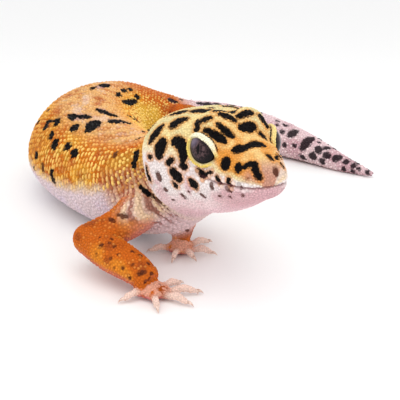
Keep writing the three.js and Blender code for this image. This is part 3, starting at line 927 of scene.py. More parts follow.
# How much longer along the body than around it the spots are, by distance behind the snout.
STRETCH = [
    (11, 1), (13.5, 1.5), (24, 1.6), (34, 1.3), (44, 1.3), (54, 1.7), (70, 2.2),
    (82, 2.6), (98, 2.6), (112, 2.2), (130, 1.6), (160, 1.35), (198, 1.25),
]
OUTSIDE, RAY_LENGTH = 4.0, 7.0  # where the search for the skin under a mark starts, and how far it goes


def stretch_at(distance, angle):
    """The stretch of a spot by its first place, with more on the crown."""
    crown = 0.35 * (abs(angle) < 36) * (13 < distance < 30)
    return crown + float(np.interp(distance, *np.transpose(STRETCH)))


def on_skin(tree, chain, place):
    """A mark's run as places on the skin, met from outside on the way to the loft, with its half widths."""
    d, a, radius = np.array(chain, float).T
    if place is spine_point:
        radius = radius * (1 + 0.14 * ease(124, 130, d) + 0.16 * ease(150, 165, d))
    points = place(d, a)
    outer = place(d, a, OUTSIDE)
    found = []
    for inner, start, r in zip(points, outer, radius):
        hit = tree.ray_cast(Vector(start), Vector(unit(inner - start)), RAY_LENGTH)[0]
        found.append((*(hit if hit is not None else inner), r))
    if place is not spine_point:
        return np.array(found), WORLD_UP, 1.0
    _, _, side, up = SPINE.at(d[:1])
    return np.array(found), np.cross(side[0], up[0]), stretch_at(d[0], a[0])


# Where spots are scattered that no mark is given for: distances, angles and how many.
SCATTERED = [
    (38, 90, -110, -28, 26), (92, 124, -120, -78, 8), (72, 126, 28, 108, 34), (124, 160, 25, 115, 14),
    (22.5, 33, -75, 55, 17), (126, 166, -115, -42, 16), (14, 21, -46, -8, 5), (24, 32, -105, -75, 4),
]


def scattered_marks():
    """Short spots for the inner and far flanks, the nape, the underside of the tail and the far cheek."""
    made = []
    for start, end, low, high, count in SCATTERED:
        for _ in range(count):
            d, a = RNG.uniform(start, end), RNG.uniform(low, high)
            length, wide = RNG.uniform(0, 9), RNG.uniform(0.35, 0.6) + 0.15 * (d < 34)
            made.append([(d, a, wide), (d + RNG.uniform(-0.6, 0.6), a + length, wide - 0.08)])
    return made


def spread_marks(tree):
    """Every mark as runs of (x, y, z, half width), by colour."""
    runs = {kind: [] for kind in MARK_LOOKS}
    named = [("black", HEAD_BLACK + BODY_BLACK), ("brown", JAW_BROWN + BODY_BROWN), ("purple", TAIL_PURPLE)]
    named += [("lilac", LILAC), ("pale", PALE), ("rust", RUST), ("black", scattered_marks())]
    for colour, marks, beyond, start, end in MIRRORED:
        turned_over = []
        for run in marks:
            if min(a for _, a, _ in run) >= beyond and start <= run[0][0] <= end:
                moved = RNG.uniform(-0.4, 0.4)
                turned_over.append([(d + moved, -a if beyond > 0 else a + TAIL_TURN, r) for d, a, r in run])
        named.append((colour, turned_over))
    for colour, marks in named:
        runs[colour] += [on_skin(tree, run, spine_point) for run in marks]
    for (part, limb), marks in LIMB_MARKS.items():
        place = round_place(LIMB_ROUTES[limb][part])
        runs["brown"] += [on_skin(tree, run, place) for run in marks]
    for limb in ("leg_left", "leg_right", "arm_left"):
        for part in ("upper", "lower"):
            route = LIMB_ROUTES[limb][part]
            for _ in range(9):
                run = [(RNG.uniform(0.2, 1) * route.length, RNG.uniform(-100, 100), RNG.uniform(0.25, 0.4))]
                runs["brown"].append(on_skin(tree, run, round_place(route)))
    palm_x, palm_y, _ = LIMBS["arm_right"]["palm"]
    for x, y, r in HAND_MARKS:
        runs["brown"].append((np.array([(palm_x + x, palm_y + y, HAND_TOP, r)]), WORLD_UP, 1.0))
    return runs


RAGGED = 0.12  # how far the edges of the spots waver


def covered(points, runs, soft, grow=0.0):
    """How much of each point lies in any of the runs, with ragged edges."""
    total = np.zeros(len(points))
    wobble = noise(points, 0.7, 90, 2) * RAGGED - grow
    for run, lie, stretch in runs:
        margin = (run[:, 3].max() + grow + 0.8) * stretch
        low, high = run[:, :3].min(0) - margin, run[:, :3].max(0) + margin
        near = np.flatnonzero(((points > low) & (points < high)).all(1))
        squeeze = np.eye(3) - np.outer(lie, lie) * (1 - 1 / stretch)
        squeezed = np.column_stack([run[:, :3] @ squeeze, run[:, 3]])
        gap = capsules(points[near] @ squeeze, squeezed) + wobble[near]
        total[near] = np.maximum(total[near], fall(-soft, soft, gap))
    return total

# Colours ----------

HALO = srgb(218, 138, 48)  # round the black spots
# Painted shade in the crease where the lips meet.
MOUTH_CREASE_SHADE = srgb(150, 88, 92)
# How each kind of mark is painted, in order: colour, softness of its edge, strength.
MARK_LOOKS = {
    "rust": (srgb(178, 84, 32), 0.6, 0.6),
    "pale": (srgb(248, 232, 226), 0.5, 0.32),
    "lilac": (srgb(172, 150, 178), 0.35, 0.45),
    "brown": (srgb(84, 36, 20), 0.16, 0.92),
    "purple": (srgb(24, 11, 21), 0.2, 0.95),
    "black": (srgb(8, 3, 4), 0.12, 1.0),
}


def mixed(colour, tone, share):
    """The colour at each point with a share of a tone."""
    share = np.reshape(share, (-1, 1))
    return colour * (1 - share) + tone * share


def ground(points, place):
    """The colour of the skin under its markings."""
    group, along, angle, facing = place["group"], place["along"], place["angle"], place["normal"][:, 2]
    side = np.abs(angle)
    sizes = ((4.5, 50), (2.0, 52), (0.9, 51))
    patch, blot, fleck = (noise(points, size, seed, 2) * 0.5 + 0.5 for size, seed in sizes)
    colour = np.tile(srgb(234, 158, 44), (len(points), 1))

    def wash(region, *tones):
        """Lays tones over a region, each three display levels and its share at each point."""
        nonlocal colour
        for *levels, share in tones:
            colour = mixed(colour, srgb(*levels), np.clip(region * share, 0, 1))

    # The trunk: orange, ochre on the flank, paler along the back, rust at the shoulder.
    trunk = ease(30, 38, along) * (group == 0)
    back = fall(14, 42, side + 16 * (patch - 0.5))
    wash(
        trunk,
        (212, 106, 18, ease(0.42, 0.66, patch) * 0.9),
        (198, 140, 26, ease(0.5, 0.75, blot) * ease(30, 62, side) * 0.85),
        (240, 188, 122, back * 0.9),
        (206, 118, 54, back * ease(0.5, 0.68, blot) * 0.75),
        (236, 206, 190, back * ease(0.56, 0.76, fleck) * 0.5),
        (240, 190, 96, (1 - back) * ease(0.55, 0.8, fleck) * 0.45),
        (222, 104, 14, fall(52, 60, along) * between(22, 34, 56, 72, side) * 0.6),
        (198, 82, 40, fall(43, 48, along) * between(72, 84, 108, 122, side)),
        (206, 108, 40, between(64, 74, 88, 104, along) * ease(36, 56, side) * 0.55),
    )
    # The loin and rump.
    loin = ease(84, 98, along + 6 * (patch - 0.5)) * fall(116, 126, along)
    wash(
        loin,
        (232, 182, 66, ease(40, 62, -angle + 16 * (blot - 0.5))),
        (222, 126, 44, ease(0.5, 0.8, blot) * ease(44, 60, -angle) * 0.5),
    )
    rump = between(102, 114, 128, 138, along) * fall(84, 104, side)
    wash(rump, (208, 98, 14, (1 - ease(46, 62, -angle) * fall(112, 120, along)) * 0.9))
    # The lower flank and the belly.
    wash(
        trunk,
        (242, 214, 176, ease(84, 92, side + 8 * (blot - 0.5)) * fall(126, 134, along) * 0.8),
        (228, 208, 212, ease(90, 101, side + 6 * (blot - 0.5))),
        (222, 206, 228, ease(96, 110, side) * ease(0.45, 0.75, patch) * 0.7),
    )
    # The neck, with its folds: dark bands of painted shade as in their creases, pale bands of painted light
    # between.
    fold_light_and_shade = np.cos((along + 0.5 * noise(points, 3.0, 53)) * 2 * math.pi / 1.25) * 0.5 + 0.5
    wash(
        between(27, 31, 41, 46, along) * (group == 0),
        (204, 146, 50, between(36, 52, 84, 94, side) * 0.7),
        (206, 104, 44, ease(33, 37, along) * between(60, 74, 100, 112, side) * 0.75),
        (244, 214, 196, ease(92, 108, side + 8 * (blot - 0.5))),
        # Painted light: pale bands between the folds.
        (242, 212, 166, ease(66, 80, side) * fall(0.2, 0.5, fold_light_and_shade) * 0.6),
        (240, 212, 214, ease(122, 140, side)),
        # Painted shade: dark bands in the folds' creases.
        (142, 66, 44, between(70, 84, 140, 158, side) * ease(0.55, 0.9, fold_light_and_shade) * 0.8),
    )
    # The head: yellow crown, orange snout, cream cheeks, pink lips and throat, the throat whitened as painted
    # light.
    wash(
        fall(27, 34, along) * (group == 0),
        (243, 220, 158, 1),
        (216, 206, 160, ease(0.45, 0.7, patch) * 0.6),
        (240, 200, 132, fall(7, 11, along + 3 * (patch - 0.5)) * fall(56, 74, side) * 0.95),
        (230, 158, 74, fall(7, 11, along) * fall(56, 74, side) * ease(0.48, 0.7, blot) * 0.8),
        (230, 152, 58, fall(6.5, 9, along) * between(30, 50, 69, 79, side) * 0.9),
        (200, 148, 138, fall(0.3, 2.4, along) * 0.8),
        (244, 228, 212, ease(36, 46, -angle) * fall(4, 5.5, along) * 0.75),
        (244, 200, 120, ease(25, 30, along) * fall(80, 100, side) * 0.6),
        (250, 236, 206, ease(64, 82, side) * ease(5, 8, along) * 0.85),
        (242, 214, 170, between(60, 76, 84, 96, side) * ease(0.5, 0.75, blot) * 0.7),
        (243, 232, 230, ease(79, 87, side)),
        (226, 182, 186, ease(88, 100, side) * ease(0.45, 0.75, blot) * 0.75),
        # Partly painted light: the throat's own pale pink, made whiter to offset the shade under the head.
        (246, 218, 220, ease(112, 132, side) * 0.8),
        (236, 200, 206, ease(134, 160, side) * 0.9),
        (214, 164, 170, fall(4, 10, along) * ease(98, 116, side) * 0.7),
    )
    # The tail.
    wash(
        ease(128, 138, along) * (group == 0),
        (232, 204, 208, 1),
        (204, 158, 168, ease(0.42, 0.66, patch) * 0.75),
        (150, 92, 104, ease(130, 165, side) * 0.5),
    )
    # The limbs: orange, pale on the inner side, pink below and on hands and feet.
    wash(
        group > 0,
        (204, 102, 26, 1),
        (234, 148, 44, ease(0.5, 0.72, patch) * 0.7),
        (142, 62, 26, ease(0.52, 0.74, blot) * 0.6),
    )
    inner = (group == 1) * fall(6.5, 11.5, along)
    wash(inner, (228, 146, 112, ease(64, 90, side)), (236, 190, 178, ease(96, 125, side) * 0.8))
    wash(group > 0, (212, 118, 100, ease(0.1, 0.6, -facing) * 0.8))
    wash(group == 3, (236, 178, 154, 0.85), (206, 112, 110, ease(-0.3, 0.5, -facing)))
    wash(group == 4, (246, 216, 202, ease(1.2, 3.2, along) * 0.95))
    return colour


def raised(colour, place, tubercle):
    """The lighter tips of the raised scales; tubercle is 1 on one of them."""
    along, side, group = place["along"], np.abs(place["angle"]), place["group"]
    warm = (group == 0) * between(30, 38, 128, 134, along) * fall(90, 100, side)
    right = ease(-20, 20, place["angle"])
    colour = colour * (1 - (0.05 + 0.1 * right) * warm * (1 - tubercle))[:, None]
    patch = noise(place["points"], 3.5, 54, 2) * 0.5 + 0.5
    bright = (1 - 0.5 * ease(58, 74, along) * right) * (1 - 0.55 * ease(0.5, 0.68, patch))
    for *levels, share in (
        (252, 214, 118, warm * ease(24, 44, side) * 0.85 * bright),
        (246, 206, 146, warm * fall(24, 44, side) * 0.25),
        (252, 236, 234, (group == 0) * ease(128, 138, along) * 0.4),
        (240, 172, 86, (group > 0) * (group < 3) * 0.3),
    ):
        colour = mixed(colour, srgb(*levels), share * tubercle)
    return colour


def painted(place, runs, tubercle=0.0):
    """The full colour at each point, without lids: ground, halos, marks, and painted shade in the mouth's
    crease.
    """
    points = place["points"]
    colour = raised(place["ground"], place, tubercle)
    on_head = fall(28, 36, place["along"]) * (place["group"] == 0)
    colour = mixed(colour, HALO, covered(points, runs["black"], 0.3, 0.32) * (0.3 + 0.4 * on_head))
    for kind, (tone, soft, strength) in MARK_LOOKS.items():
        colour = mixed(colour, tone, covered(points, runs[kind], soft) * strength)
    # Painted shade in the crease of the mouth, weaker further back.
    return mixed(colour, MOUTH_CREASE_SHADE, place["mouth"] * (0.8 - 0.6 * ease(6, 11, place["along"])))


def lid_colour(colour, lid):
    """Cream above, yellow below, with painted shade dark just inside the rim and in the crease beyond the
    band.
    """
    gap, width = lid["gap"], lid["width"]
    above = between(-25, 15, 130, 165, lid["angle"])
    tone = mixed(srgb(244, 214, 112), srgb(255, 250, 220), above * (1 - 0.75 * lid["yellow"]))
    colour = mixed(colour, tone, fall(0.85, 1.05, gap / width) * ease(-0.05, 0.06, gap) * lid["near"])
    # Painted shade in the groove beyond the lid band, stronger above the eye, under the brow.
    crease_shade = bell(gap - width - 0.14, 0.14) * lid["near"] * (0.35 + 0.4 * above)
    colour = mixed(colour, srgb(150, 95, 40), crease_shade)
    # Painted shade: near black just inside the rim, where the lids meet the ball.
    return mixed(colour, srgb(25, 16, 20), fall(-0.06, 0.02, gap))

# Scales ----------

PATCH = 0.0015  # half the width of one scale's patch on the bake's map
# Rings of a scale as share of its half width and of its height, from sunk edge to tip.
GRANULE = [(1.0, -0.4), (0.76, 0.6)]
TUBERCLE = [(1.0, -0.3), (0.84, 0.5), (0.45, 0.9)]
# The kinds of scale: granules fill the skin between the others.
GRAIN, RAISED, LIP, FRINGE = range(4)
# Painted shade: the skin between the scales is darkened, as in the grooves between them.
GROOVE_SHADE = 0.8  # of the skin between the scales
FAR_FROM_LIDS = 9.0
SPACING = (0.5, 0.52, 0.16)  # round a raised scale, a plate of the lips, a scale of the fringe
LIP_SIZE, FRINGE_SIZE = (0.5, 0.36, 0.12), (0.16, 0.16, 0.14)  # half length, half width, height
SPINE_REGIONS = (30, 66, 126)  # where one piece of the spine's scales ends and the next begins
PIECES = [f"scales_{name}_1" for name in ("head", "chest", "loin", "tail", "arms", "legs")]
PIECES += ["tubercles_body_1", "tubercles_limbs_1"]


def pitch_at(place, lid_gap):
    """The spacing of the fine scales at each point."""
    along, side, group = place["along"], np.abs(place["angle"]), place["group"]
    on_body = 0.4 + 0.16 * ease(26, 38, along) - 0.12 * ease(150, 196, along)
    on_body += 0.06 * ease(90, 110, side) * ease(34, 44, along)
    on_body -= 0.06 * fall(6, 12, along) + 0.08 * fall(0.8, 2.2, lid_gap)
    return np.choose(group, [on_body, 0.5, 0.43, 0.36, 0.31])


def sampled_roots(skin):
    """Random places on the skin, denser where scales are finer, as triangle and shares of its corners."""
    corner = skin["points"][skin["triangles"]]
    area = np.linalg.norm(np.cross(corner[:, 1] - corner[:, 0], corner[:, 2] - corner[:, 0]), axis=1) / 2
    wanted = area / skin["pitch"][skin["triangles"]].mean(1) ** 2 * 5
    count = int(wanted.sum())
    index = np.searchsorted(np.cumsum(wanted), RNG.uniform(0, wanted.sum(), count))
    u, v = RNG.uniform(size=(2, count))
    over = u + v > 1
    u, v = np.where(over, 1 - u, u), np.where(over, 1 - v, v)
    return np.minimum(index, len(area) - 1), np.stack([1 - u - v, u, v], 1)


def roots_near(tree, skin, places):
    """The same, for the skin nearest to given places."""
    place, _, index, _ = zip(*[tree.find_nearest(p) for p in places.tolist()])
    corner = skin["points"][skin["triangles"][list(index)]]
    return np.array(index), barycentric(np.array(place), *(corner[:, k] for k in range(3)))


def tubercle_places():
    """Staggered rows of raised scales over the back, flanks and tail."""
    made = []
    distance, row = 33.0, 0
    while distance < SPINE.length - 3:
        on_tail = distance > 134
        reach = 150 if on_tail else 96
        wide, high, deep = SPINE.at(distance)[1][0]
        step = 1.4 * 360 / (math.pi * (wide + (high + deep) / 2))
        angles = np.arange(-reach + (row % 2) * step / 2, reach, step)
        angles = angles + RNG.normal(0, 0.13 * step, len(angles))
        distances = distance + RNG.normal(0, 0.12, len(angles))
        keep = RNG.uniform(size=len(angles)) < 0.9
        made.append(spine_point(distances, angles)[keep])
        distance += 1.3 if on_tail else 1.15
        row += 1
    for limb in LIMB_ROUTES.values():
        for part in ("upper", "lower"):
            route = limb[part]
            d = RNG.uniform(0.5, route.length - 1, 70)
            made.append(round_place(route)(d, RNG.uniform(-120, 120, 70)))
    return np.vstack(made)


def lip_places(tree):
    """The row of plates along each edge of the mouth, on both sides."""
    made = []
    for side in (1, -1):
        for offset, start in ((0.5, 0.9), (-0.5, 1.3)):
            for back in np.arange(start, 14.5, 0.95):
                up = np.interp(back, *np.transpose(MOUTH_LINE)) + offset
                hit = tree.ray_cast(Vector(in_head(back, side * 15, up)), Vector(-side * LEFT), 16)[0]
                if hit is not None:
                    made.append(tuple(hit))
    return np.array(made)


def lid_places(eye, opened):
    """The fringe of small scales on the rim of the lids."""
    run = opened_wider(closed_curve(LID_OPENING, 46) * 1.07, opened)
    depth = np.sqrt(np.maximum(EYE_RADIUS**2 - (run**2).sum(1), 0.1))
    return eye.place(np.column_stack([run, depth]) * 1.1)


def lie_of(place):
    """The direction that the scales point at each root: down the body and down each limb."""
    lie = np.zeros((len(place["along"]), 3))
    routes = [(0, 0, SPINE)]
    for n, name in enumerate(LIMB_NAMES):
        parts = LIMB_ROUTES[name]
        routes += [(1, n, parts["upper"]), (2, n, parts["lower"])]
        routes += [(4, n * 5 + t, toe) for t, toe in enumerate(parts["toes"])]
        out = parts["lower"].points[-1] - parts["lower"].points[-2]
        lie[(place["group"] == 3) & (place["part"] == n)] = out
    for group, part, route in routes:
        mine = (place["group"] == group) & (place["part"] == part)
        if mine.any():
            _, _, side, up = route.at(place["along"][mine])
            lie[mine] = np.cross(side, up)
    return lie


def read_roots(skin, index, share):
    """Everything known of the skin, at each root."""
    corner = skin["triangles"][index]
    main = corner[np.arange(len(corner)), share.argmax(1)]
    place = {key: skin[key][main] for key in ("group", "part", "along", "angle")}
    for key in ("points", "normal", "ground", "pitch", "lid_gap", "mouth"):
        place[key] = np.einsum("nk,nk...->n...", share, skin[key][corner])
    return place | {"normal": unit(place["normal"])}


def search_tree(points):
    tree = KDTree(len(points))
    for n, p in enumerate(points):
        tree.insert(p, n)
    tree.balance()
    return tree


def spaced(points, radius, fixed):
    """Which roots stand clear of each other: the first ones are fixed, the rest fill in between them."""
    points = points.tolist()
    tree = search_tree(points)
    free = np.ones(len(radius), bool)
    chosen = []
    for n, reach in enumerate(radius.tolist()):
        if free[n]:
            chosen.append(n)
            free[[other for _, other, _ in tree.find_range(points[n], reach) if other >= fixed]] = False
    return np.array(chosen)


def scale_form(rings, corners):
    """A unit scale: points as (lie, across, height), their painted shade (dark edge, light tip), and
    triangles.
    """
    points, faces = [], []
    for r, (share, height) in enumerate(rings):
        for k in range(corners):
            turn = 2 * math.pi * (k + 0.5) / corners
            points.append((math.cos(turn) * share, math.sin(turn) * share, height))
            a, b = r * corners + k, r * corners + (k + 1) % corners
            faces += [(a, b, b + corners), (a, b + corners, a + corners)] if r + 1 < len(rings) else []
    top = len(points)
    faces += [(top - corners + k, top - corners + (k + 1) % corners, top) for k in range(corners)]
    points = np.array([*points, (0.18, 0, 1.0)])
    # Painted shade and light: each scale is darker at its sunk edge, where the grooves are, and lighter
    # towards its tip.
    shade = 0.8 + 0.22 * np.maximum(points[:, 2], 0)
    shade[-1] = 1.05
    return points, shade, np.array(faces)


def add_scales(name, place, size, tint, form, material):
    """One joined mesh of a scale at each root. size is half length, half width and height."""
    corners, shade, faces = form
    normal = place["normal"]
    lie = unit(place["lie"] - normal * (place["lie"] * normal).sum(1, keepdims=True) + 1e-9)
    above_skin = (corners[:, 2] > -0.2)[:, None]
    uneven = 1 + RNG.normal(0, 0.06, (len(size), len(corners), 1)) * above_skin
    local = corners * size[:, None] * uneven
    points = place["points"][:, None] + local @ np.stack([lie, np.cross(normal, lie), normal], 1)
    points[..., 2] = np.maximum(points[..., 2], 0.03)
    triangles = (faces + np.arange(len(size))[:, None, None] * len(corners)).reshape(-1, 3)
    # Each scale's tint times its painted shade, darker at the edge and lighter at the tip.
    colours = (tint[:, None] * shade[:, None]).reshape(-1, 3)
    piece = add_piece(name, points.reshape(-1, 3), triangles, "skin", material, colours)
    patch = (chart_of(place)[:, None] + corners[:, :2] * PATCH).reshape(-1, 2)
    layer = piece.data.uv_layers.new(name="OFBake")
    layer.data.foreach_set("uv", np.clip(patch[triangles.ravel()], 0, 1).astype(np.float32).ravel())


def chart_of(place):
    """Each root's place on the unwrap of its piece: along and around the spine, or by limb and part."""
    along, angle, group, part = (place[k] for k in ("along", "angle", "group", "part"))
    v = (angle + 180) / 360
    if group[0] == 0:
        low, high = along.min(), along.max()
        return np.column_stack([(along - low) / max(high - low, 1), v]) * 0.98 + 0.01
    start = np.choose(group, [0, 0, 0.26, 0.52, 0.64])
    width = np.choose(group, [0.25, 0.25, 0.25, 0.11, 0.066])
    length = np.choose(group, [26, 26, 18, 1, 10])
    u = start + np.where(group == 4, (part % 5) * 0.07, 0) + np.clip(along / length, 0, 1) * width
    return np.column_stack([u, (limb_of(place) + v * 0.94 + 0.03) / 4]) * 0.98 + 0.01


def limb_of(place):
    """The limb's number, of which a toe's number is five times that and its own."""
    return np.where(place["group"] == 4, place["part"] // 5, place["part"])


def cover_with_scales(skin, tree, runs, material):
    """Plates, tubercles and granules over the whole skin, in pieces by region."""
    fringe = np.vstack([lid_places(eye, OPENED[name]) for name, eye in EYES.items()])
    given = [tubercle_places(), lip_places(tree), fringe]
    roots = roots_near(tree, skin, np.vstack(given)), sampled_roots(skin)
    index, share = (np.concatenate(pair) for pair in zip(*roots))
    fixed = sum(len(places) for places in given)
    kind = np.repeat([RAISED, LIP, FRINGE, GRAIN], [*map(len, given), len(index) - fixed])
    place = read_roots(skin, index, share) | {"kind": kind}
    radius = np.choose(kind, [place["pitch"], *SPACING])
    kept = spaced(place["points"], radius, fixed)
    kept = kept[(place["lid_gap"][kept] >= 0.05) & ((place["mouth"][kept] <= 0.5) | (kind[kept] == LIP))]
    place = {key: values[kept] for key, values in place.items()}
    place["lie"] = lie_of(place)
    along, group, kind = place["along"], place["group"], place["kind"]
    raised_scale = kind == RAISED
    tint = painted(place, runs, raised_scale.astype(float))
    # Scales round the lids take the skin's colours there, its painted shade included.
    rim = place["lid_gap"] < 1.6
    tint[rim] = skin["tint"][skin_nearest(skin, place["points"][rim])]
    flank = between(38, 44, 100, 112, along) * ease(40, 55, place["angle"]) * (group == 0)
    wide = place["pitch"] * 0.66
    half = np.stack([wide, wide, wide * 0.5], 1)
    flank = flank[raised_scale]
    half[raised_scale] = np.stack([0.38 - 0.06 * flank, 0.36 + 0.3 * flank, 0.3 - 0.04 * flank], 1)
    half[kind == LIP] = LIP_SIZE
    half[kind == FRINGE] = FRINGE_SIZE
    half[raised_scale & (group > 0)] *= 0.72
    half *= RNG.normal(1, 0.07, (len(half), 1))
    region = np.where(group == 0, np.searchsorted(SPINE_REGIONS, along, "right"), 4 + (limb_of(place) > 1))
    region = np.where(raised_scale, 6 + (group > 0), region)
    forms = [scale_form(GRANULE, 6)] * 6 + [scale_form(TUBERCLE, 8)] * 2
    for n, name in enumerate(PIECES):
        mine = np.flatnonzero(region == n)
        mine = mine[np.argsort(along[mine], kind="stable")]
        some = {key: values[mine] for key, values in place.items()}
        add_scales(name, some, half[mine], tint[mine], forms[n], material)


def skin_nearest(skin, places):
    """The point of the skin round the eyes that is nearest to each place."""
    near = np.flatnonzero(skin["lid_gap"] < 2.5)
    tree = search_tree(skin["points"][near].tolist())
    return near[[tree.find(p)[1] for p in places.tolist()]]

# Materials ----------


class Look:
    """A new material, with short ways to add nodes. An input is a number, a colour or another's output."""

    def __init__(self, name, **settings):
        self.material = bpy.data.materials.new(name)
        self.material.use_nodes = True
        self.tree = self.material.node_tree
        self.shader = self.tree.nodes["Principled BSDF"]
        for key, value in settings.items():
            self.shader.inputs[key.replace("_", " ")].default_value = value

    def give(self, node, inputs):
        for key, value in inputs.items():
            if isinstance(value, bpy.types.NodeSocket):
                self.tree.links.new(value, node.inputs[key])
            else:
                node.inputs[key].default_value = value

    def node(self, kind, inputs, output, **settings):
        """One output of a new node."""
        made = self.tree.nodes.new("ShaderNode" + kind)
        for key, value in settings.items():
            setattr(made, key, value)
        self.give(made, inputs)
        return made.outputs[output]

    def noise(self, place, scale, detail, roughness=0.5):
        inputs = {"Vector": place, "Scale": scale, "Detail": detail, "Roughness": roughness}
        return self.node("TexNoise", inputs, "Fac")

    def mapped(self, value, low, high, to_low=0.0, to_high=1.0):
        inputs = {"Value": value, "From Min": low, "From Max": high, "To Min": to_low, "To Max": to_high}
        return self.node("MapRange", inputs, "Result")

    def mix(self, factor, a, b, blend="MIX"):
        return self.node("Mix", {0: factor, 6: a, 7: b}, 2, data_type="RGBA", blend_type=blend)

    def ramp(self, value, *stops):
        """A colour ramp through two stops of place and colour."""
        output = self.node("ValToRGB", {"Fac": value}, "Color")
        for element, (position, colour) in zip(output.node.color_ramp.elements, stops):
            element.position = position
            element.color = colour
        return output


def opaque(*levels):
    """A colour with full alpha."""
    return (*srgb(*levels), 1)


def scaled_material():
    """Skin and scales: the painted tint under fine noise, with matte and oily patches and a fine bump."""
    look = Look("skin", Specular_IOR_Level=0.08)
    tint = look.node("Attribute", {}, "Color", attribute_name="tint")
    place = look.node("TexCoord", {}, "Object")
    fine = look.noise(place, 2600.0, 3.0)
    level = look.mapped(fine, 0.3, 0.7, 0.88, 1.12)
    shade = look.node("CombineColor", {"Red": level, "Green": level, "Blue": level}, "Color")
    inputs = {
        "Base Color": look.mix(1.0, tint, shade, "MULTIPLY"),
        "Roughness": look.mapped(look.noise(place, 420.0, 2.0), 0.35, 0.65, 0.42, 0.64),
        "Normal": look.node("Bump", {"Strength": 0.25, "Distance": 0.0001, "Height": fine}, "Normal"),
    }
    look.give(look.shader, inputs)
    return look.material


def claw_look():
    """Pale horn, darker and browner in streaks along the claw."""
    look = Look("claw", Roughness=0.35)
    streak = look.noise(look.node("TexCoord", {}, "Object"), 1800.0, 2.0)
    horn = look.ramp(streak, (0.35, opaque(186, 146, 128)), (0.65, opaque(232, 206, 192)))
    look.give(look.shader, {"Base Color": horn})
    return look.material


def eye_look():
    """A wet ball: mottled iris round a narrow upright pupil, near black towards its edge; a painted
    reflection.
    """
    look = Look("eye", Roughness=0.12, Specular_IOR_Level=0.12, Coat_Weight=0.08, Coat_Roughness=0.03)
    gaze = look.node("Attribute", {}, "Vector", attribute_name="gaze")
    mottle = look.noise(gaze, 9.0, 4.0, 0.65)
    mottled = look.ramp(mottle, (0.42, opaque(24, 15, 20)), (0.62, opaque(90, 68, 70)))
    edge = look.mapped(look.node("SeparateXYZ", {0: gaze}, "Z"), 0.79, 0.95)
    iris = look.mix(edge, opaque(9, 4, 7), mottled)
    slit = look.node("VectorMath", {0: gaze, 1: (12.0, 4.0, 0.0)}, "Vector", operation="MULTIPLY")
    width = look.node("VectorMath", {0: slit}, "Value", operation="LENGTH")
    colour = look.mix(look.mapped(width, 0.9, 1.1), (0.002, 0.001, 0.002, 1), iris)
    # Painted reflection: a lilac-grey glint on the upper back of the ball.
    from_reflection = look.node("VectorMath", {0: gaze, 1: (-0.42, 0.36, 0.83)}, "Value", operation="DISTANCE")
    painted_reflection = look.mapped(from_reflection, 0.12, 0.42, 0.62, 0.0)
    look.give(look.shader, {"Base Color": look.mix(painted_reflection, colour, opaque(128, 112, 134))})
    return look.material

# Scene ----------

FLESH = [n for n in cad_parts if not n.startswith("eye_")]
CAMERA_PLACE = (0.0, -150.0, 55.0)
CAMERA_DOWN = math.radians(20)
# Rings of a claw: distance beyond the toe's end, height of the middle, half width.
CLAW_RINGS = [(-0.6, 0.8, 0.34), (-0.1, 0.88, 0.32), (0.3, 0.78, 0.24), (0.6, 0.54, 0.14), (0.78, 0.28, 0.04)]


def unit_ball():
    """The points and triangles of a fine ball."""
    form = bmesh.new()
    bmesh.ops.create_uvsphere(form, u_segments=96, v_segments=64, radius=1)
    bmesh.ops.triangulate(form, faces=form.faces)
    mesh = bpy.data.meshes.new("ball")
    form.to_mesh(mesh)
    form.free()
    arrays = arrays_of(mesh)
    bpy.data.meshes.remove(mesh)
    return arrays


def claws(shape):
    """The claws of one hand or foot: curved cones from inside each toe's tip almost to the floor."""
    around = 8
    turn = (np.arange(around) * 2 * math.pi / around)[:, None]
    points, triangles = [], []
    for degrees, length in shape["toes"]:
        out = np.array([math.cos(math.radians(degrees)), math.sin(math.radians(degrees)), 0])
        across = np.cross(WORLD_UP, out)
        first = len(points) * around
        for reach, height, radius in CLAW_RINGS:
            middle = np.array([*shape["palm"][:2], height]) + out * (length + reach)
            points.append(middle + (np.cos(turn) * across + np.sin(turn) * WORLD_UP) * radius)
        for row in range(len(CLAW_RINGS) - 1):
            for k in range(around):
                a, b = first + row * around + k, first + row * around + (k + 1) % around
                triangles += [(a, b + around, b), (a, a + around, b + around)]
        end = first + (len(CLAW_RINGS) - 1) * around
        triangles += [(end, end + k, end + k + 1) for k in range(1, around - 1)]
    return np.vstack(points), np.array(triangles)


def aimed(name, data, place, target):
    """A light or camera at a place, looking at a target, both in millimetres."""
    made = placed(name, data)
    direction = Vector(np.subtract(target, place))
    made.rotation_euler = direction.to_track_quat("-Z", "Y").to_euler()
    made.location = Vector((np.array(place) + SHIFT) * MM)
    return made


def add_light(name, place, size, power, colour):
    data = bpy.data.lights.new(name, "AREA")
    data.shape = "DISK"
    data.size = size
    data.energy = power
    data.color = colour
    aimed(name, data, place, (-5, 0, 8))


def add_camera():
    data = bpy.data.cameras.new("camera")
    data.lens = 60
    data.sensor_width = 36
    data.clip_start = 0.01
    ahead = (0, math.cos(CAMERA_DOWN), -math.sin(CAMERA_DOWN))
    bpy.context.scene.camera = aimed("camera", data, CAMERA_PLACE, np.add(CAMERA_PLACE, ahead))


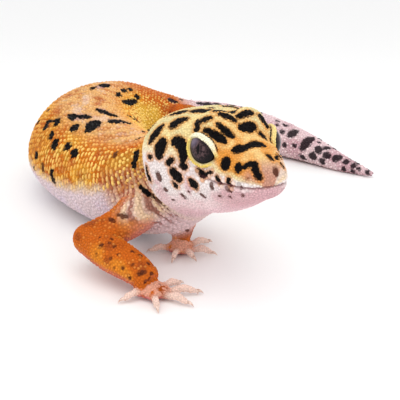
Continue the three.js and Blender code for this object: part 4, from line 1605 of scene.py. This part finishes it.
def add_floor():
    mesh = bpy.data.meshes.new("floor")
    mesh.from_pydata([(-2, -2, 0), (2, -2, 0), (2, 2, 0), (-2, 2, 0)], [], [(0, 1, 2, 3)])
    mesh.materials.append(Look("floor", Base_Color=(0.93, 0.93, 0.93, 1), Roughness=0.7).material)
    placed("floor", mesh)


def add_world():
    world = bpy.data.worlds.new("world")
    world.use_nodes = True
    background = world.node_tree.nodes["Background"]
    background.inputs["Color"].default_value = (1, 1, 1, 1)
    background.inputs["Strength"].default_value = 1.0
    bpy.context.scene.world = world
    bpy.context.scene.view_settings.view_transform = "Standard"


skin = build_skin()
tree = BVHTree.FromPolygons(skin["points"].tolist(), skin["triangles"].tolist())
runs = spread_marks(tree)
skin["normal"] = normals_of(skin["points"], skin["triangles"])
above, line = mouth_gap(skin["points"])
# Where the mouth's crease runs, for its plates and for its painted shade.
skin["mouth"] = line * np.exp(-((above / 0.16) ** 2)) * (skin["group"] == 0)
on_body = ground(skin["points"], skin | skin["body"])
skin["ground"] = mixed(ground(skin["points"], skin), on_body, skin["share"])
skin["tint"] = lid_colour(painted(skin, runs), skin["lid"])
skin["lid_gap"] = np.minimum(skin["lid"]["gap"], FAR_FROM_LIDS)
skin["pitch"] = pitch_at(skin, skin["lid_gap"])
skin_material = scaled_material()
claw_material = claw_look()
eye_material = eye_look()
# The skin's tint darkened by the painted shade of the grooves between the scales.
tint_with_groove_shade = skin["tint"] * GROOVE_SHADE
skin_piece = add_piece("skin", skin["points"], skin["triangles"], "skin", skin_material, tint_with_groove_shade)
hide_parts(*FLESH)
cover_with_scales(skin, tree, runs, skin_material)
ball, ball_triangles = unit_ball()
for name, eye in EYES.items():
    points = eye.place(ball * EYE_RADIUS)
    piece = add_piece(f"eyeball_{name}", points, ball_triangles, "eye", eye_material, gaze=ball)
    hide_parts(f"eye_{name}")
for limb, shape in LIMBS.items():
    add_piece(f"claws_{limb}", *claws(shape), "claw", claw_material)
add_floor()
add_camera()
add_light("key", (-30, -150, 300), 0.3, 0.3, (1, 0.98, 0.95))
add_light("fill", (150, -160, 200), 0.25, 0.08, (0.95, 0.97, 1))
add_world()
